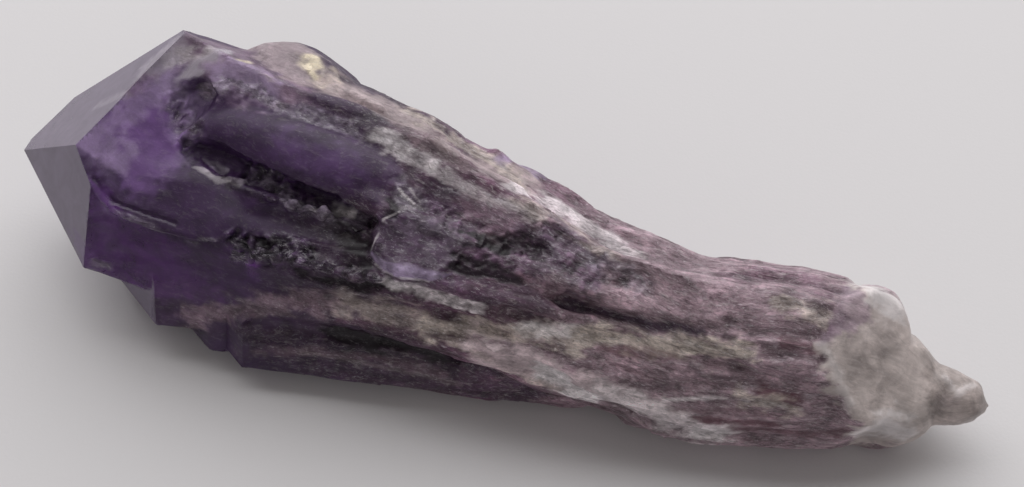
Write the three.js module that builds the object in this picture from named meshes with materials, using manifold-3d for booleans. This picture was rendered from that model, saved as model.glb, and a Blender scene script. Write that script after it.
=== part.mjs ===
// An amethyst scepter lying on its side: one quartz crystal with a pointed head, whose body of
// parallel growth columns tapers towards a rounded foot of white quartz with a short stub.
// Millimetres, Z up, tip towards -X. The crystal rests flat on a side of its head and on its foot.

import * as THREE from "three";
import { mergeVertices } from "three/addons/utils/BufferGeometryUtils.js";
import Module from "manifold-3d";

const wasm = await Module();
wasm.setup();

// A quartz point's faces look this many degrees away from the crystal's long axis.
const QUARTZ_LEAN = 51.8;

// The head's point is a short ridge between its front and back. The small back face starts lower.
const TIP_FRONT = new THREE.Vector3(-73, 0.5, 15);
const TIP_BACK = new THREE.Vector3(-73, 2.9, 14.9);
const BACK_CORNER = new THREE.Vector3(-68.3, 9.7, 18.3);

// The six faces of the point, by the direction each looks: 0 is towards -Y and 90 is up.
const POINT_FACES = [
  { name: "top", looks: 93.2, leans: 51.1, through: TIP_FRONT },
  { name: "front", looks: 31, leans: 54.5, through: TIP_FRONT },
  { name: "front under", looks: -26.8, leans: 47.2, through: TIP_FRONT },
  { name: "bottom", looks: -86.8, leans: QUARTZ_LEAN, through: TIP_FRONT },
  { name: "back under", looks: -146.8, leans: QUARTZ_LEAN, through: TIP_BACK },
  { name: "back", looks: 130, leans: QUARTZ_LEAN, through: BACK_CORNER },
];

// The long edges of the body, in order round it. Each point is [x, y, z].
const BODY_EDGES = [
  { name: "crest", points: [
    [-77, 15.4, 38], [-48.6, 14.1, 34], [-40.5, 12, 33], [-25, 9.6, 30.4], [-14, 7.9, 28], [1.6, 3.9, 26],
    [14, -1, 24.6], [24, -1.4, 23.8], [34, -1, 23.2], [46, -1.2, 22.2], [54, -1, 20.4], [60, -0.4, 16],
    [63, 0, 11]] },
  { name: "front ledge", points: [
    [-77, -8.8, 24.3], [-55, -8.8, 24.3], [-51.6, -10.2, 21.4], [-39, -11.1, 19.6], [-32.4, -10.6, 20.6],
    [-23, -11, 20.2], [-11.6, -11, 20.8], [2, -10.6, 20.6], [20, -9.8, 19.4], [34, -9.6, 18],
    [48, -9.2, 17.6], [56, -7.4, 15.2], [63, -2, 9.4]] },
  { name: "front foot", points: [
    [-77, -14.9, 12], [-56.6, -14.9, 12], [-50.6, -15.3, 11.2], [-40, -16, 9.8], [-21.5, -14.8, 12.1],
    [-4, -13.4, 15], [2.6, -13.3, 14], [10.2, -14.7, 12.5], [18.2, -15.2, 10], [24, -15.3, 7.5],
    [34, -15.3, 5.8], [44, -13, 5.4], [54, -10.6, 5.2], [60, -6.8, 5.4], [63, -2.4, 7.2]] },
  { name: "front base", points: [
    [-77, -8, -1], [-30, -8.6, -1], [-14, -10, 1.4], [10, -9.4, 2.6], [30, -9, 1.2], [42, -7, -0.8],
    [54, -5.4, -0.8], [60, -3.4, 1], [63, -1, 5.4]] },
  { name: "back base", points: [
    [-77, 12.6, -1], [-30, 12, -1], [-14, 11, 1], [10, 7.4, 2.4], [30, 5.6, 1.2], [42, 5, -0.8],
    [54, 4.4, -0.8], [60, 2.8, 1], [63, 1.2, 5.4]] },
  { name: "back", points: [
    [-77, 22.4, 15], [-48, 22.4, 15], [-30, 22.4, 14], [-10, 18, 13], [8, 13.4, 12], [22, 9.8, 11.4],
    [38, 9.8, 11], [50, 11.6, 10.6], [56, 10, 10], [60, 7, 9.2], [63, 3, 7.8]] },
  { name: "back shoulder", points: [
    [-77, 20.6, 27], [-50, 19.6, 27.4], [-38, 18.6, 27], [-23.5, 18.6, 25.8], [-11, 15.4, 23.4],
    [-1.3, 12.6, 22.6], [7, 9.6, 20.2], [17.5, 6, 19.2], [28, 5.8, 18.2], [38, 7.4, 18.2],
    [46, 9.2, 17.8], [52, 9.8, 17], [57, 7.4, 14.6], [60, 5, 12.4], [63, 2, 9.6]] },
];
// The lengths along X at which the body has a ring of points: the head's own, then evenly spaced ones.
const HEAD_STATIONS = [-77, -58, -55, -51.6, -48.6, -44.5, -40.5, -37.5];
const BODY_START = -35;
const BODY_END = 63;
const BODY_STATIONS = 31;
const BODY_MIDDLE_Z = 12;
const POINTS_PER_SIDE = 8;

// Ribs and furrows run along the body. Each starts with a steep step, as a growth column's end does,
// and fades towards the root. The share is of ribs turned into furrows.
const RIBS = {
  count: 110, from: -34, to: 44, shortest: 14, longest: 46, lowest: 0.7, highest: 2.3, seed: 11,
};
const RIB_STEP = 3;
const RIB_SHOULDER = 0.3;
const FURROW_SHARE = 0.42;
// The ribs leave the head's smooth sides free, are full behind them, and die out before the foot.
const RIBS_START = -36;
const RIBS_FULL = -8;
const RIBS_FADE_FROM = 45;
const RIBS_FADE_TO = 54;
// A side of the body rises in its middle by this share of its width.
const SIDE_BULGE = 0.1;

// Growth columns fused to the body. Each has its own point towards -X and thins towards the root.
// The lengths of the points at the two ends are in radii.
const COLUMN_SIDES = 6;
const COLUMN_POINT = Math.tan(THREE.MathUtils.degToRad(QUARTZ_LEAN));
const COLUMN_TAIL = 2.5;
const COLUMNS = [
  { name: "lower crystal", from: [-45.4, -11, 6.4], to: [-6, -9, 8], wide: 7.2, thin: 4.6, turn: 2 },
  { name: "skirt crystal", from: [-31.4, -12.4, 4.6], to: [16, -9.4, 4.4], wide: 8.1, thin: 4.8, turn: 4 },
  { name: "next lower crystal", from: [-37.2, -12.2, 4.4], to: [-10, -9.6, 5], wide: 6.9, thin: 5, turn: 4 },
  { name: "under column", from: [-44, 13.6, 8.6], to: [18, 6.4, 7.6], wide: 7, thin: 3.8, turn: 10 },
  { name: "ridge column", from: [3, -9.6, 10.6], to: [40, -9.2, 6.6], wide: 5.4, thin: 4.4, turn: 22 },
  { name: "middle column", from: [-2, -5, 18.6], to: [44, -4, 16.6], wide: 5.6, thin: 4.6, turn: 36 },
  { name: "back column", from: [-20, 12.6, 19.4], to: [34, 3.8, 15.6], wide: 5.4, thin: 3.4, turn: 20 },
];

// A thin plate of the head that overhangs its front face. Its outline is in x and y, its top slopes.
const PLATE = {
  outline: [
    [-60, -3.6], [-55.4, -8.6], [-51.8, -11], [-45.6, -12], [-38.6, -12.1], [-33, -11.4], [-31, -8],
    [-44, -3]],
  top: [-51.8, -11, 22.2],
  looks: 66,
  thickness: 0.9,
};

// A clear chip that stands proud of the hackly break in the body's middle.
const CHIP = {
  outline: [
    [-13.7, -8.6], [-14.6, -5.4], [-13.6, -1.6], [-11.2, 0.8], [-6.7, 0.6], [-2.6, -1.8], [-0.9, -6.6],
    [-3.1, -10.2], [-9.2, -10.8]],
  top: [-8, -5, 24.4],
  looks: 74,
  thickness: 2.4,
  bevel: 0.9,
};

// Rows of angular crumbs along the broken edges. A crumb is longer along the row than across it.
const CRUMB_SHAPE = [1.7, 1, 0.9];
const CRUMB_SCATTER = 1;
const CRUMB_ROWS = [
  { from: [-32.6, -10.6, 20.6], to: [-12, -10.6, 21], count: 11, smallest: 0.7, largest: 1.5, seed: 21 },
  { from: [-41.6, -3.6, 25.6], to: [-14, -5.2, 23.4], count: 10, smallest: 0.6, largest: 1.3, seed: 34 },
  { from: [0, -9.8, 21.2], to: [20, -9, 20], count: 6, smallest: 0.6, largest: 1.1, seed: 48 },
];

// Shell-shaped hollows, where quartz has broken away.
const HOLLOWS = [
  { name: "scarp hollow", at: [-45.4, 3, 30.6], size: [3.8, 6, 3.8], rough: 0.16, seed: 6, detail: 3 },
  { name: "ledge hollow", at: [-23, -6.8, 25.6], size: [14, 3.6, 4.2], rough: 0.16, seed: 7, detail: 3 },
  { name: "tip break", at: [-52.8, 10.6, 37], size: [4.4, 4, 4], rough: 0.12, seed: 1, detail: 2 },
  { name: "front break", at: [-14, -17.2, 17], size: [13, 3.8, 3.6], rough: 0.14, seed: 13, detail: 2 },
  { name: "skirt break", at: [-18, -19.6, 11.4], size: [13, 3.6, 4], rough: 0.14, seed: 16, detail: 3 },
  { name: "skirt foot break", at: [-27, -22.6, 5], size: [7, 2.8, 4], rough: 0.16, seed: 24, detail: 2 },
  { name: "ridge break", at: [12, -18.2, 15.6], size: [9, 4, 4], rough: 0.16, seed: 17, detail: 2 },
  { name: "middle break", at: [7, -3.6, 27.2], size: [9, 3.4, 3.4], rough: 0.2, seed: 18, detail: 2 },
  { name: "root break", at: [30, -5.4, 25.2], size: [10, 3.4, 3], rough: 0.2, seed: 19, detail: 2 },
  { name: "back break", at: [-6, 20.2, 21.4], size: [12, 4, 4], rough: 0.16, seed: 20, detail: 2 },
];

// Long splinters, half sunk in the skin along its lines, so that low ridges with blunt ends stay.
const SPLINTERS = {
  count: 20, from: -22, to: 28, shortest: 14, longest: 26, thinnest: 1.2, thickest: 2.4, seed: 5,
};
const SPLINTER_SUNK = 0.45;
const SPLINTER_TAPER = 0.7;
const SPLINTER_POINT = 1;

// Furrows between columns, each cut along a line by a prism with a long point.
const FURROW_TURN = 30;
const FURROW_POINT = 3;
const FURROWS = [
  { name: "dark groove", from: [-39.6, -0.2, 25.8], to: [-8, -4.2, 23.4], wide: 2.5, thin: 1.6 },
  { name: "v groove", from: [14, -7.6, 21.6], to: [33, -7.2, 21], wide: 1.9, thin: 0.4 },
  { name: "front furrow", from: [-10, -12.8, 18.4], to: [26, -12.2, 15.4], wide: 1.3, thin: 0.6 },
  { name: "skirt furrow", from: [-24, -20.2, 6.4], to: [10, -14.8, 4.4], wide: 1.4, thin: 0.7 },
  { name: "skirt top furrow", from: [-28, -16.6, 10.6], to: [4, -14, 10.4], wide: 1.5, thin: 0.7 },
  { name: "low furrow", from: [8, -15.2, 8.4], to: [40, -13.2, 8], wide: 1.1, thin: 0.6 },
  { name: "crest furrow", from: [-30, 14.4, 29.6], to: [18, 4.6, 23.6], wide: 1.3, thin: 0.7 },
  { name: "back furrow", from: [-20, 21.4, 19.4], to: [30, 9.4, 15.4], wide: 1.5, thin: 0.8 },
];

// Rounded masses, each an uneven ball.
const LUMPS = [
  { name: "shoulder lump", at: [-33.8, 15.2, 23], size: [11.6, 7.8, 7.8], rough: 0.05, seed: 3, detail: 5 },
  { name: "smoky swelling", at: [-25.4, 3.4, 20.4], size: [23, 7.6, 10], pitch: 4, yaw: -7, rough: 0.02,
    seed: 4, detail: 6 },
  { name: "flank swelling", at: [-20, 12, 21.4], size: [14, 6, 5.6], rough: 0.04, seed: 8, detail: 3 },
  { name: "violet bump", at: [0.6, 11.4, 19.2], size: [5.6, 3, 3.2], rough: 0.08, seed: 2, detail: 3 },
  { name: "foot", at: [53.4, 0.3, 10.4], size: [8.8, 11.3, 10.9], rough: 0.045, seed: 5, detail: 5 },
  { name: "foot front", at: [58.6, -1.4, 7], size: [8, 7.2, 9], rough: 0.04, seed: 12, detail: 4 },
  { name: "foot front edge", at: [57, -5.2, 9], size: [7.4, 3.6, 6.6], rough: 0.04, seed: 14, detail: 3 },
  { name: "foot end", at: [60.6, 2.4, 8], size: [5.2, 5.2, 6.4], rough: 0.05, seed: 9, detail: 3 },
];
const STUB = { at: [66.2, 0.2, 7.8], size: [6.6, 4.5, 4.4], rough: 0.08, seed: 15, detail: 1 };

// The side of the block that cuts flat faces, well over the crystal's own size.
const CUTTER_SIZE = 400;

// The slanted face where the foot broke off its matrix.
const FOOT_FACE_NORMAL = new THREE.Vector3(0.5, -0.26, 0.83).normalize();
const FOOT_FACE_MIDDLE = new THREE.Vector3(57, 0, 16.2);

const AMETHYST = new THREE.MeshStandardMaterial({ color: 0x5d4470, roughness: 0.3, metalness: 0 });

// Seeded random numbers from 0 to 1, so that each build is the same.
function randomFrom(seed) {
  let state = seed;
  return () => {
    state = (state + 0x6d2b79f5) | 0;
    let mixed = Math.imul(state ^ (state >>> 15), 1 | state);
    mixed = (mixed + Math.imul(mixed ^ (mixed >>> 7), 61 | mixed)) ^ mixed;
    return ((mixed ^ (mixed >>> 14)) >>> 0) / 2 ** 32;
  };
}

// A direction round the body's axis, in the Y and Z plane: 0 looks towards -Y and 90 looks up.
function outward(degrees) {
  const angle = THREE.MathUtils.degToRad(degrees);
  return new THREE.Vector3(0, -Math.cos(angle), Math.sin(angle));
}

// The same geometry with shared vertices, as a closed manifold-3d solid.
function solidOf(geometry) {
  const bare = geometry.clone();
  bare.deleteAttribute("normal");
  bare.deleteAttribute("uv");
  const merged = mergeVertices(bare, 1e-4);
  return new wasm.Manifold(new wasm.Mesh({
    numProp: 3,
    vertProperties: merged.attributes.position.array,
    triVerts: new Uint32Array(merged.index.array),
  }));
}

function middleOf(points) {
  return points.reduce((sum, p) => sum.add(p), new THREE.Vector3()).divideScalar(points.length);
}

// A closed skin over rings of equal count, which run anticlockwise seen from the last ring.
function loft(rings, startPoint, endPoint) {
  const around = rings[0].length;
  const points = [...rings.flat(), startPoint, endPoint];
  const first = rings.length * around;
  const faces = [];
  rings.slice(1).forEach((_, ring) => {
    for (let i = 0; i < around; i++) {
      const a = ring * around + i;
      const b = ring * around + ((i + 1) % around);
      faces.push(a, b, b + around, a, b + around, a + around);
    }
  });
  for (let i = 0; i < around; i++) {
    const next = (i + 1) % around;
    faces.push(first, next, i);
    faces.push(first + 1, first - around + i, first - around + next);
  }
  return new THREE.BufferGeometry().setFromPoints(points).setIndex(faces);
}

// Where an edge of the body is at x.
function edgeAt(points, x) {
  const i = THREE.MathUtils.clamp(points.findLastIndex((p) => p[0] <= x), 0, points.length - 2);
  const [from, to] = [points[i], points[i + 1]].map((p) => new THREE.Vector3(...p));
  return from.lerp(to, (x - from.x) / (to.x - from.x));
}

// The ribs: the long line of the body's skin that each follows, its ends and its height. A furrow's
// height is below zero.
function makeRibs() {
  const random = randomFrom(RIBS.seed);
  const between = (low, high) => low + (high - low) * random();
  return Array.from({ length: RIBS.count }, () => {
    const start = between(RIBS.from, RIBS.to);
    return {
      line: Math.floor(random() * BODY_EDGES.length * POINTS_PER_SIDE),
      start,
      end: start + between(RIBS.shortest, RIBS.longest),
      height: between(RIBS.lowest, RIBS.highest) * (random() < FURROW_SHARE ? -1 : 1),
    };
  });
}

// How far the ribs lift one of the skin's long lines at x. Each also lifts its two neighbours a little.
function ribLift(ribs, line, x) {
  const lines = BODY_EDGES.length * POINTS_PER_SIDE;
  return ribs.reduce((lift, rib) => {
    const apart = Math.abs(line - rib.line);
    const share = [1, RIB_SHOULDER][Math.min(apart, lines - apart)] ?? 0;
    if (x <= rib.start || x >= rib.end || share === 0) return lift;
    const along = Math.min((x - rib.start) / RIB_STEP, (rib.end - x) / (rib.end - rib.start), 1);
    return lift + rib.height * along * share;
  }, 0);
}

// One ring of the body at x, with its sides bulged and ribbed behind the head.
function bodyRing(ribs, x) {
  const corners = BODY_EDGES.map((edge) => edgeAt(edge.points, x));
  const centre = middleOf(corners);
  const onBody = THREE.MathUtils.smoothstep(x, RIBS_START, RIBS_FULL);
  const raggedness = onBody * (1 - THREE.MathUtils.smoothstep(x, RIBS_FADE_FROM, RIBS_FADE_TO));
  return corners.flatMap((corner, side) => {
    const next = corners[(side + 1) % corners.length];
    return Array.from({ length: POINTS_PER_SIDE }, (_, step) => {
      const t = step / POINTS_PER_SIDE;
      const point = corner.clone().lerp(next, t);
      const out = point.clone().sub(centre).normalize();
      const bulge = SIDE_BULGE * corner.distanceTo(next) * 4 * t * (1 - t);
      const lift = ribLift(ribs, side * POINTS_PER_SIDE + step, x);
      return point.addScaledVector(out, onBody * bulge + raggedness * lift);
    });
  });
}

// The body before its point is cut: a skin over the long edges.
function makeBody() {
  const ribs = makeRibs();
  const stations = Array.from({ length: BODY_STATIONS + 1 }, (_, i) =>
    THREE.MathUtils.lerp(BODY_START, BODY_END, i / BODY_STATIONS));
  const rings = [...HEAD_STATIONS, ...stations].map((x) => bodyRing(ribs, x));
  return solidOf(loft(rings, middleOf(rings[0]), middleOf(rings[rings.length - 1])));
}

// A six-sided prism between the middles of its end sections, with a point beyond each. The first
// point is as many radii long as stated, or as long as a quartz crystal's own.
function makeColumn({ from, to, wide, thin, turn = 0, point = COLUMN_POINT }) {
  const start = new THREE.Vector3(...from);
  const end = new THREE.Vector3(...to);
  const along = end.clone().sub(start).normalize();
  const across = new THREE.Vector3(0, 0, 1).cross(along).normalize();
  const upright = along.clone().cross(across);
  const ring = (middle, radius) => Array.from({ length: COLUMN_SIDES }, (_, i) => {
    const angle = THREE.MathUtils.degToRad(turn) + (2 * Math.PI * i) / COLUMN_SIDES;
    return middle.clone()
      .addScaledVector(across, radius * Math.cos(angle))
      .addScaledVector(upright, radius * Math.sin(angle));
  });
  const tip = start.clone().addScaledVector(along, -wide * point);
  const tail = end.clone().addScaledVector(along, thin * COLUMN_TAIL);
  return solidOf(loft([ring(start, wide), ring(end, thin)], tip, tail));
}

// Splinters that follow the skin's long lines.
function makeSplinters() {
  const random = randomFrom(SPLINTERS.seed);
  const between = (low, high) => low + (high - low) * random();
  return Array.from({ length: SPLINTERS.count }, () => {
    const start = between(SPLINTERS.from, SPLINTERS.to);
    const end = start + between(SPLINTERS.shortest, SPLINTERS.longest);
    const line = Math.floor(random() * BODY_EDGES.length * POINTS_PER_SIDE);
    const radius = between(SPLINTERS.thinnest, SPLINTERS.thickest);
    const [from, to] = [start, end].map((x) => {
      const ring = bodyRing([], x);
      const inward = new THREE.Vector3(x, 0, BODY_MIDDLE_Z).sub(ring[line]).normalize();
      return ring[line].addScaledVector(inward, radius * SPLINTER_SUNK).toArray();
    });
    const thin = radius * SPLINTER_TAPER;
    return makeColumn({ from, to, wide: radius, thin, turn: between(0, 60), point: SPLINTER_POINT });
  });
}

// A ball with an uneven surface, to add as a lump or to cut away as a hollow. Pitch tips its +X end
// down and yaw turns it round Z, both in degrees.
function makeUnevenBall({ at, size, rough, seed, detail, pitch = 0, yaw = 0 }) {
  const ball = new THREE.IcosahedronGeometry(1, detail);
  const places = ball.attributes.position;
  const p = new THREE.Vector3();
  for (let i = 0; i < places.count; i++) {
    p.fromBufferAttribute(places, i);
    const waves = Math.sin(3.1 * p.x + seed) * Math.sin(2.7 * p.y + 2 * seed)
      + Math.sin(4.3 * p.z + 3 * seed) * Math.cos(3.7 * p.x - seed)
      + 0.5 * Math.sin(7.1 * p.y + seed) * Math.sin(6.3 * p.z - 2 * seed);
    p.multiplyScalar(1 + rough * waves);
    places.setXYZ(i, p.x, p.y, p.z);
  }
  ball.scale(...size);
  ball.rotateY(THREE.MathUtils.degToRad(pitch)).rotateZ(THREE.MathUtils.degToRad(yaw));
  return solidOf(ball.translate(...at));
}

// A plate on a slope: its outline in x and y is lifted to a top face that looks the given way.
function makePlate({ outline, top, looks, thickness, bevel = 0 }) {
  const normal = outward(looks);
  const lengthwise = new THREE.Vector3(1, 0, 0);
  const upslope = normal.clone().cross(lengthwise);
  const onSlope = outline.map(([x, y]) => new THREE.Vector2(x - top[0], (y - top[1]) / upslope.y));
  const plate = new THREE.ExtrudeGeometry(new THREE.Shape(onSlope), {
    depth: thickness,
    bevelEnabled: bevel > 0,
    bevelSize: bevel,
    bevelThickness: bevel,
    bevelOffset: -bevel,
    bevelSegments: 1,
  });
  const underside = new THREE.Vector3(...top).addScaledVector(normal, -thickness - bevel);
  const frame = new THREE.Matrix4().makeBasis(lengthwise, upslope, normal).setPosition(underside);
  return solidOf(plate.applyMatrix4(frame));
}

// A big block whose near face lies on a plane: cutting it away leaves that plane as a flat face.
function beyond(normal, point) {
  const block = new THREE.BoxGeometry(CUTTER_SIZE, CUTTER_SIZE, CUTTER_SIZE);
  block.translate(0, 0, CUTTER_SIZE / 2);
  const turn = new THREE.Quaternion().setFromUnitVectors(new THREE.Vector3(0, 0, 1), normal);
  return solidOf(block.applyQuaternion(turn).translate(point.x, point.y, point.z));
}

// The faces of the head's point, cut from whatever is given.
function cutPoint(solid) {
  return POINT_FACES.reduce((rest, face) => {
    const lean = THREE.MathUtils.degToRad(face.leans);
    const normal = outward(face.looks).multiplyScalar(Math.sin(lean));
    normal.x = -Math.cos(lean);
    return rest.subtract(beyond(normal, face.through));
  }, solid);
}

// Small angular crumbs along a broken edge.
function makeCrumbs({ from, to, count, smallest, largest, seed }) {
  const random = randomFrom(seed);
  const start = new THREE.Vector3(...from);
  const end = new THREE.Vector3(...to);
  return Array.from({ length: count }, (_, i) => {
    const size = smallest + (largest - smallest) * random();
    const crumb = new THREE.OctahedronGeometry(size, 0);
    crumb.scale(...CRUMB_SHAPE).rotateX(3 * random()).rotateZ(random() - 0.5);
    const place = start.clone().lerp(end, (i + 0.6 * random()) / count);
    const [aside, above] = [random() - 0.5, random() - 0.5];
    place.add(new THREE.Vector3(0, CRUMB_SCATTER * aside, CRUMB_SCATTER * above));
    return solidOf(crumb.translate(...place));
  });
}

// The solid inside the outermost surface, which fills any gap that the pieces close over.
function outerSkin(solid) {
  const larger = (a, b) => (b.volume() > a.volume() ? b : a);
  return solid.decompose().reduce(larger);
}

// The whole crystal, moved so that the origin is on the ground below the middle of its box.
function makeScepter() {
  const head = cutPoint(makeBody().add(makePlate(PLATE)));
  const columns = COLUMNS.map(makeColumn);
  const lumps = LUMPS.map(makeUnevenBall);
  const grown = wasm.Manifold.union([head, ...columns, ...makeSplinters(), ...lumps])
    .subtract(beyond(FOOT_FACE_NORMAL, FOOT_FACE_MIDDLE));
  const furrows = FURROWS.map((furrow) => makeColumn({ ...furrow, turn: FURROW_TURN, point: FURROW_POINT }));
  const cuts = [...HOLLOWS.map(makeUnevenBall), ...furrows];
  const broken = cuts.reduce((rest, cut) => rest.subtract(cut), grown);
  const proud = [makeUnevenBall(STUB), makePlate(CHIP), ...CRUMB_ROWS.flatMap(makeCrumbs)];
  const detailed = wasm.Manifold.union([broken, ...proud]);
  const rested = detailed.subtract(beyond(new THREE.Vector3(0, 0, -1), new THREE.Vector3()));
  const { vertProperties, triVerts } = outerSkin(rested).getMesh();
  const geometry = new THREE.BufferGeometry()
    .setAttribute("position", new THREE.BufferAttribute(vertProperties, 3))
    .setIndex(new THREE.BufferAttribute(triVerts, 1));
  geometry.computeBoundingBox();
  const middle = geometry.boundingBox.getCenter(new THREE.Vector3());
  geometry.translate(-middle.x, -middle.y, 0).computeVertexNormals();
  return geometry;
}

const scepter = new THREE.Group();
const crystal = new THREE.Mesh(makeScepter(), AMETHYST);
crystal.name = "amethyst_scepter";
scepter.add(crystal);

export default scepter;
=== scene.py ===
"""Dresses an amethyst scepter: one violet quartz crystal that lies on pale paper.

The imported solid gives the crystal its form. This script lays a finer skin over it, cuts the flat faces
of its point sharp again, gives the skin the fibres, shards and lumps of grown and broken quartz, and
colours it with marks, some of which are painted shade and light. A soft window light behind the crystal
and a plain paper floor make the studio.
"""

import logging
import math
from dataclasses import dataclass, field
from enum import Enum

import bmesh
import bpy
import numpy as np
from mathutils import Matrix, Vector, noise
from mathutils.bvhtree import BVHTree


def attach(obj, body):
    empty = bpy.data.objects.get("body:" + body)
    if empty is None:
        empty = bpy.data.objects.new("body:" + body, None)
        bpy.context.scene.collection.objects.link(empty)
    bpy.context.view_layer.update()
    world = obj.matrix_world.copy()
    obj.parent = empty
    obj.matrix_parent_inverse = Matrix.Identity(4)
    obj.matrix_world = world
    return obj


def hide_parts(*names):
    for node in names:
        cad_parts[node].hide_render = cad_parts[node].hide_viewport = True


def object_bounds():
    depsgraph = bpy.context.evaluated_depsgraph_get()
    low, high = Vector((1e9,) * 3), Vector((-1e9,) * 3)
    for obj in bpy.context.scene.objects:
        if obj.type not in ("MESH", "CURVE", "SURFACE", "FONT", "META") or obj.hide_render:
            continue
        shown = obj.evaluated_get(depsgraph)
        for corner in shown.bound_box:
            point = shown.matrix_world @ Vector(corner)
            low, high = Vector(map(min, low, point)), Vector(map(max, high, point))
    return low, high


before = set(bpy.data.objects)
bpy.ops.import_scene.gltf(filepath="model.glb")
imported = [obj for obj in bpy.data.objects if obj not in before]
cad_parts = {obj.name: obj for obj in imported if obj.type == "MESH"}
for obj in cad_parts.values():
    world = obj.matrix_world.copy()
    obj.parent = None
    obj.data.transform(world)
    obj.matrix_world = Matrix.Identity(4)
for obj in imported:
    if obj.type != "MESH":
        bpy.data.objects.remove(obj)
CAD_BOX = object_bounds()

MM = 0.001
IMAGE_SIZE = (1024, 487)
NODE = "amethyst_scepter"
LOG = logging.getLogger("scepter")

Pixel = tuple[float, float]
# Lengths along the grain and the two ways across it, in metres.
Size = tuple[float, float, float]
Sockets = dict[str, bpy.types.NodeSocket]

# A look as a row of numbers: its linear colour, then its traits.
TRAITS = ("frost", "fibre", "clear", "gloss", "patchy")
FROST_COLUMN, FIBRE_COLUMN = 3, 4


def linear(hex_value: str) -> tuple[float, float, float, float]:
    """Turns an sRGB hex colour into linear light.

    Args:
        hex_value: The colour, such as "#8c7682".

    Returns:
        Red, green, blue and an alpha of 1.
    """
    parts = [int(hex_value[i:i + 2], 16) / 255 for i in (1, 3, 5)]
    # The standard sRGB curve: a short straight foot, then a power.
    light = [p / 12.92 if p <= 0.04045 else ((p + 0.055) / 1.055) ** 2.4 for p in parts]
    return (*light, 1.0)


def add_node(tree: bpy.types.NodeTree, kind: str, links: dict | None = None, **settings) -> bpy.types.Node:
    """Adds a node with its settings and links.

    Args:
        tree: The node tree that gets it.
        kind: The node's type.
        links: For an input, by name or number, the output that feeds it or the value it is set to.
        settings: The node's own properties.

    Returns:
        The new node.
    """
    node = tree.nodes.new(kind)
    for name, value in settings.items():
        setattr(node, name, value)
    for socket, source in (links or {}).items():
        if isinstance(source, bpy.types.NodeSocket):
            tree.links.new(source, node.inputs[socket])
        else:
            node.inputs[socket].default_value = source
    return node


@dataclass(frozen=True)
class PhotoCamera:
    """The camera at the photograph's angle, worked out from the crystal's outline in it."""

    lens_mm: float = 50.0
    sensor_mm: float = 36.0
    azimuth: float = 15.8
    elevation: float = 55.0
    distance: float = 206 * MM
    clip_start: float = 10 * MM
    aim: tuple[float, float, float] = (2.77 * MM, 2.70 * MM, 15.0 * MM)

    def axes(self) -> tuple[Vector, Vector, Vector]:
        """Gives the camera's own directions.

        Returns:
            The directions to its back, its right and its top.
        """
        turn, rise = math.radians(self.azimuth), math.radians(self.elevation)
        level = math.cos(rise)
        back = Vector((math.sin(turn) * level, -math.cos(turn) * level, math.sin(rise)))
        right = Vector((math.cos(turn), math.sin(turn), 0.0))
        return back, right, back.cross(right)

    def place(self) -> Vector:
        """Gives the point that the camera stands at."""
        return Vector(self.aim) + self.axes()[0] * self.distance

    def ray(self, pixel: Pixel) -> Vector:
        """Gives the direction in which the camera sees a pixel of the photograph.

        Args:
            pixel: The pixel, from the picture's left and top.

        Returns:
            The direction from the camera, of length 1.
        """
        back, right, up = self.axes()
        focal = IMAGE_SIZE[0] * self.lens_mm / self.sensor_mm
        aside = (pixel[0] - IMAGE_SIZE[0] / 2) / focal
        down = (pixel[1] - IMAGE_SIZE[1] / 2) / focal
        return (right * aside - up * down - back).normalized()

    def build(self) -> bpy.types.Object:
        """Makes the camera and hands it to the scene.

        Returns:
            The camera's object.
        """
        data = bpy.data.cameras.new("photo_camera")
        data.lens = self.lens_mm
        data.sensor_width = self.sensor_mm
        data.clip_start = self.clip_start
        camera = bpy.data.objects.new("photo_camera", data)
        camera.location = self.place()
        camera.rotation_mode = "QUATERNION"
        camera.rotation_quaternion = (-self.axes()[0]).to_track_quat("-Z", "Y")
        bpy.context.scene.collection.objects.link(camera)
        bpy.context.scene.camera = camera
        return camera


@dataclass(frozen=True)
class SoftLight:
    """One soft rectangular light that looks at the crystal. Lengths are in metres, the power in watts."""

    name: str
    place: tuple[float, float, float]
    size: tuple[float, float]
    power: float
    colour: str = "#ffffff"

    def build(self) -> bpy.types.Object:
        """Makes the light.

        Returns:
            The light's object.
        """
        data = bpy.data.lights.new(self.name, "AREA")
        data.shape = "RECTANGLE"
        data.size, data.size_y = self.size
        data.energy = self.power
        data.color = linear(self.colour)[:3]
        light = bpy.data.objects.new(self.name, data)
        light.location = self.place
        light.rotation_mode = "QUATERNION"
        light.rotation_quaternion = (-Vector(self.place)).to_track_quat("-Z", "Y")
        bpy.context.scene.collection.objects.link(light)
        return light


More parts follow.
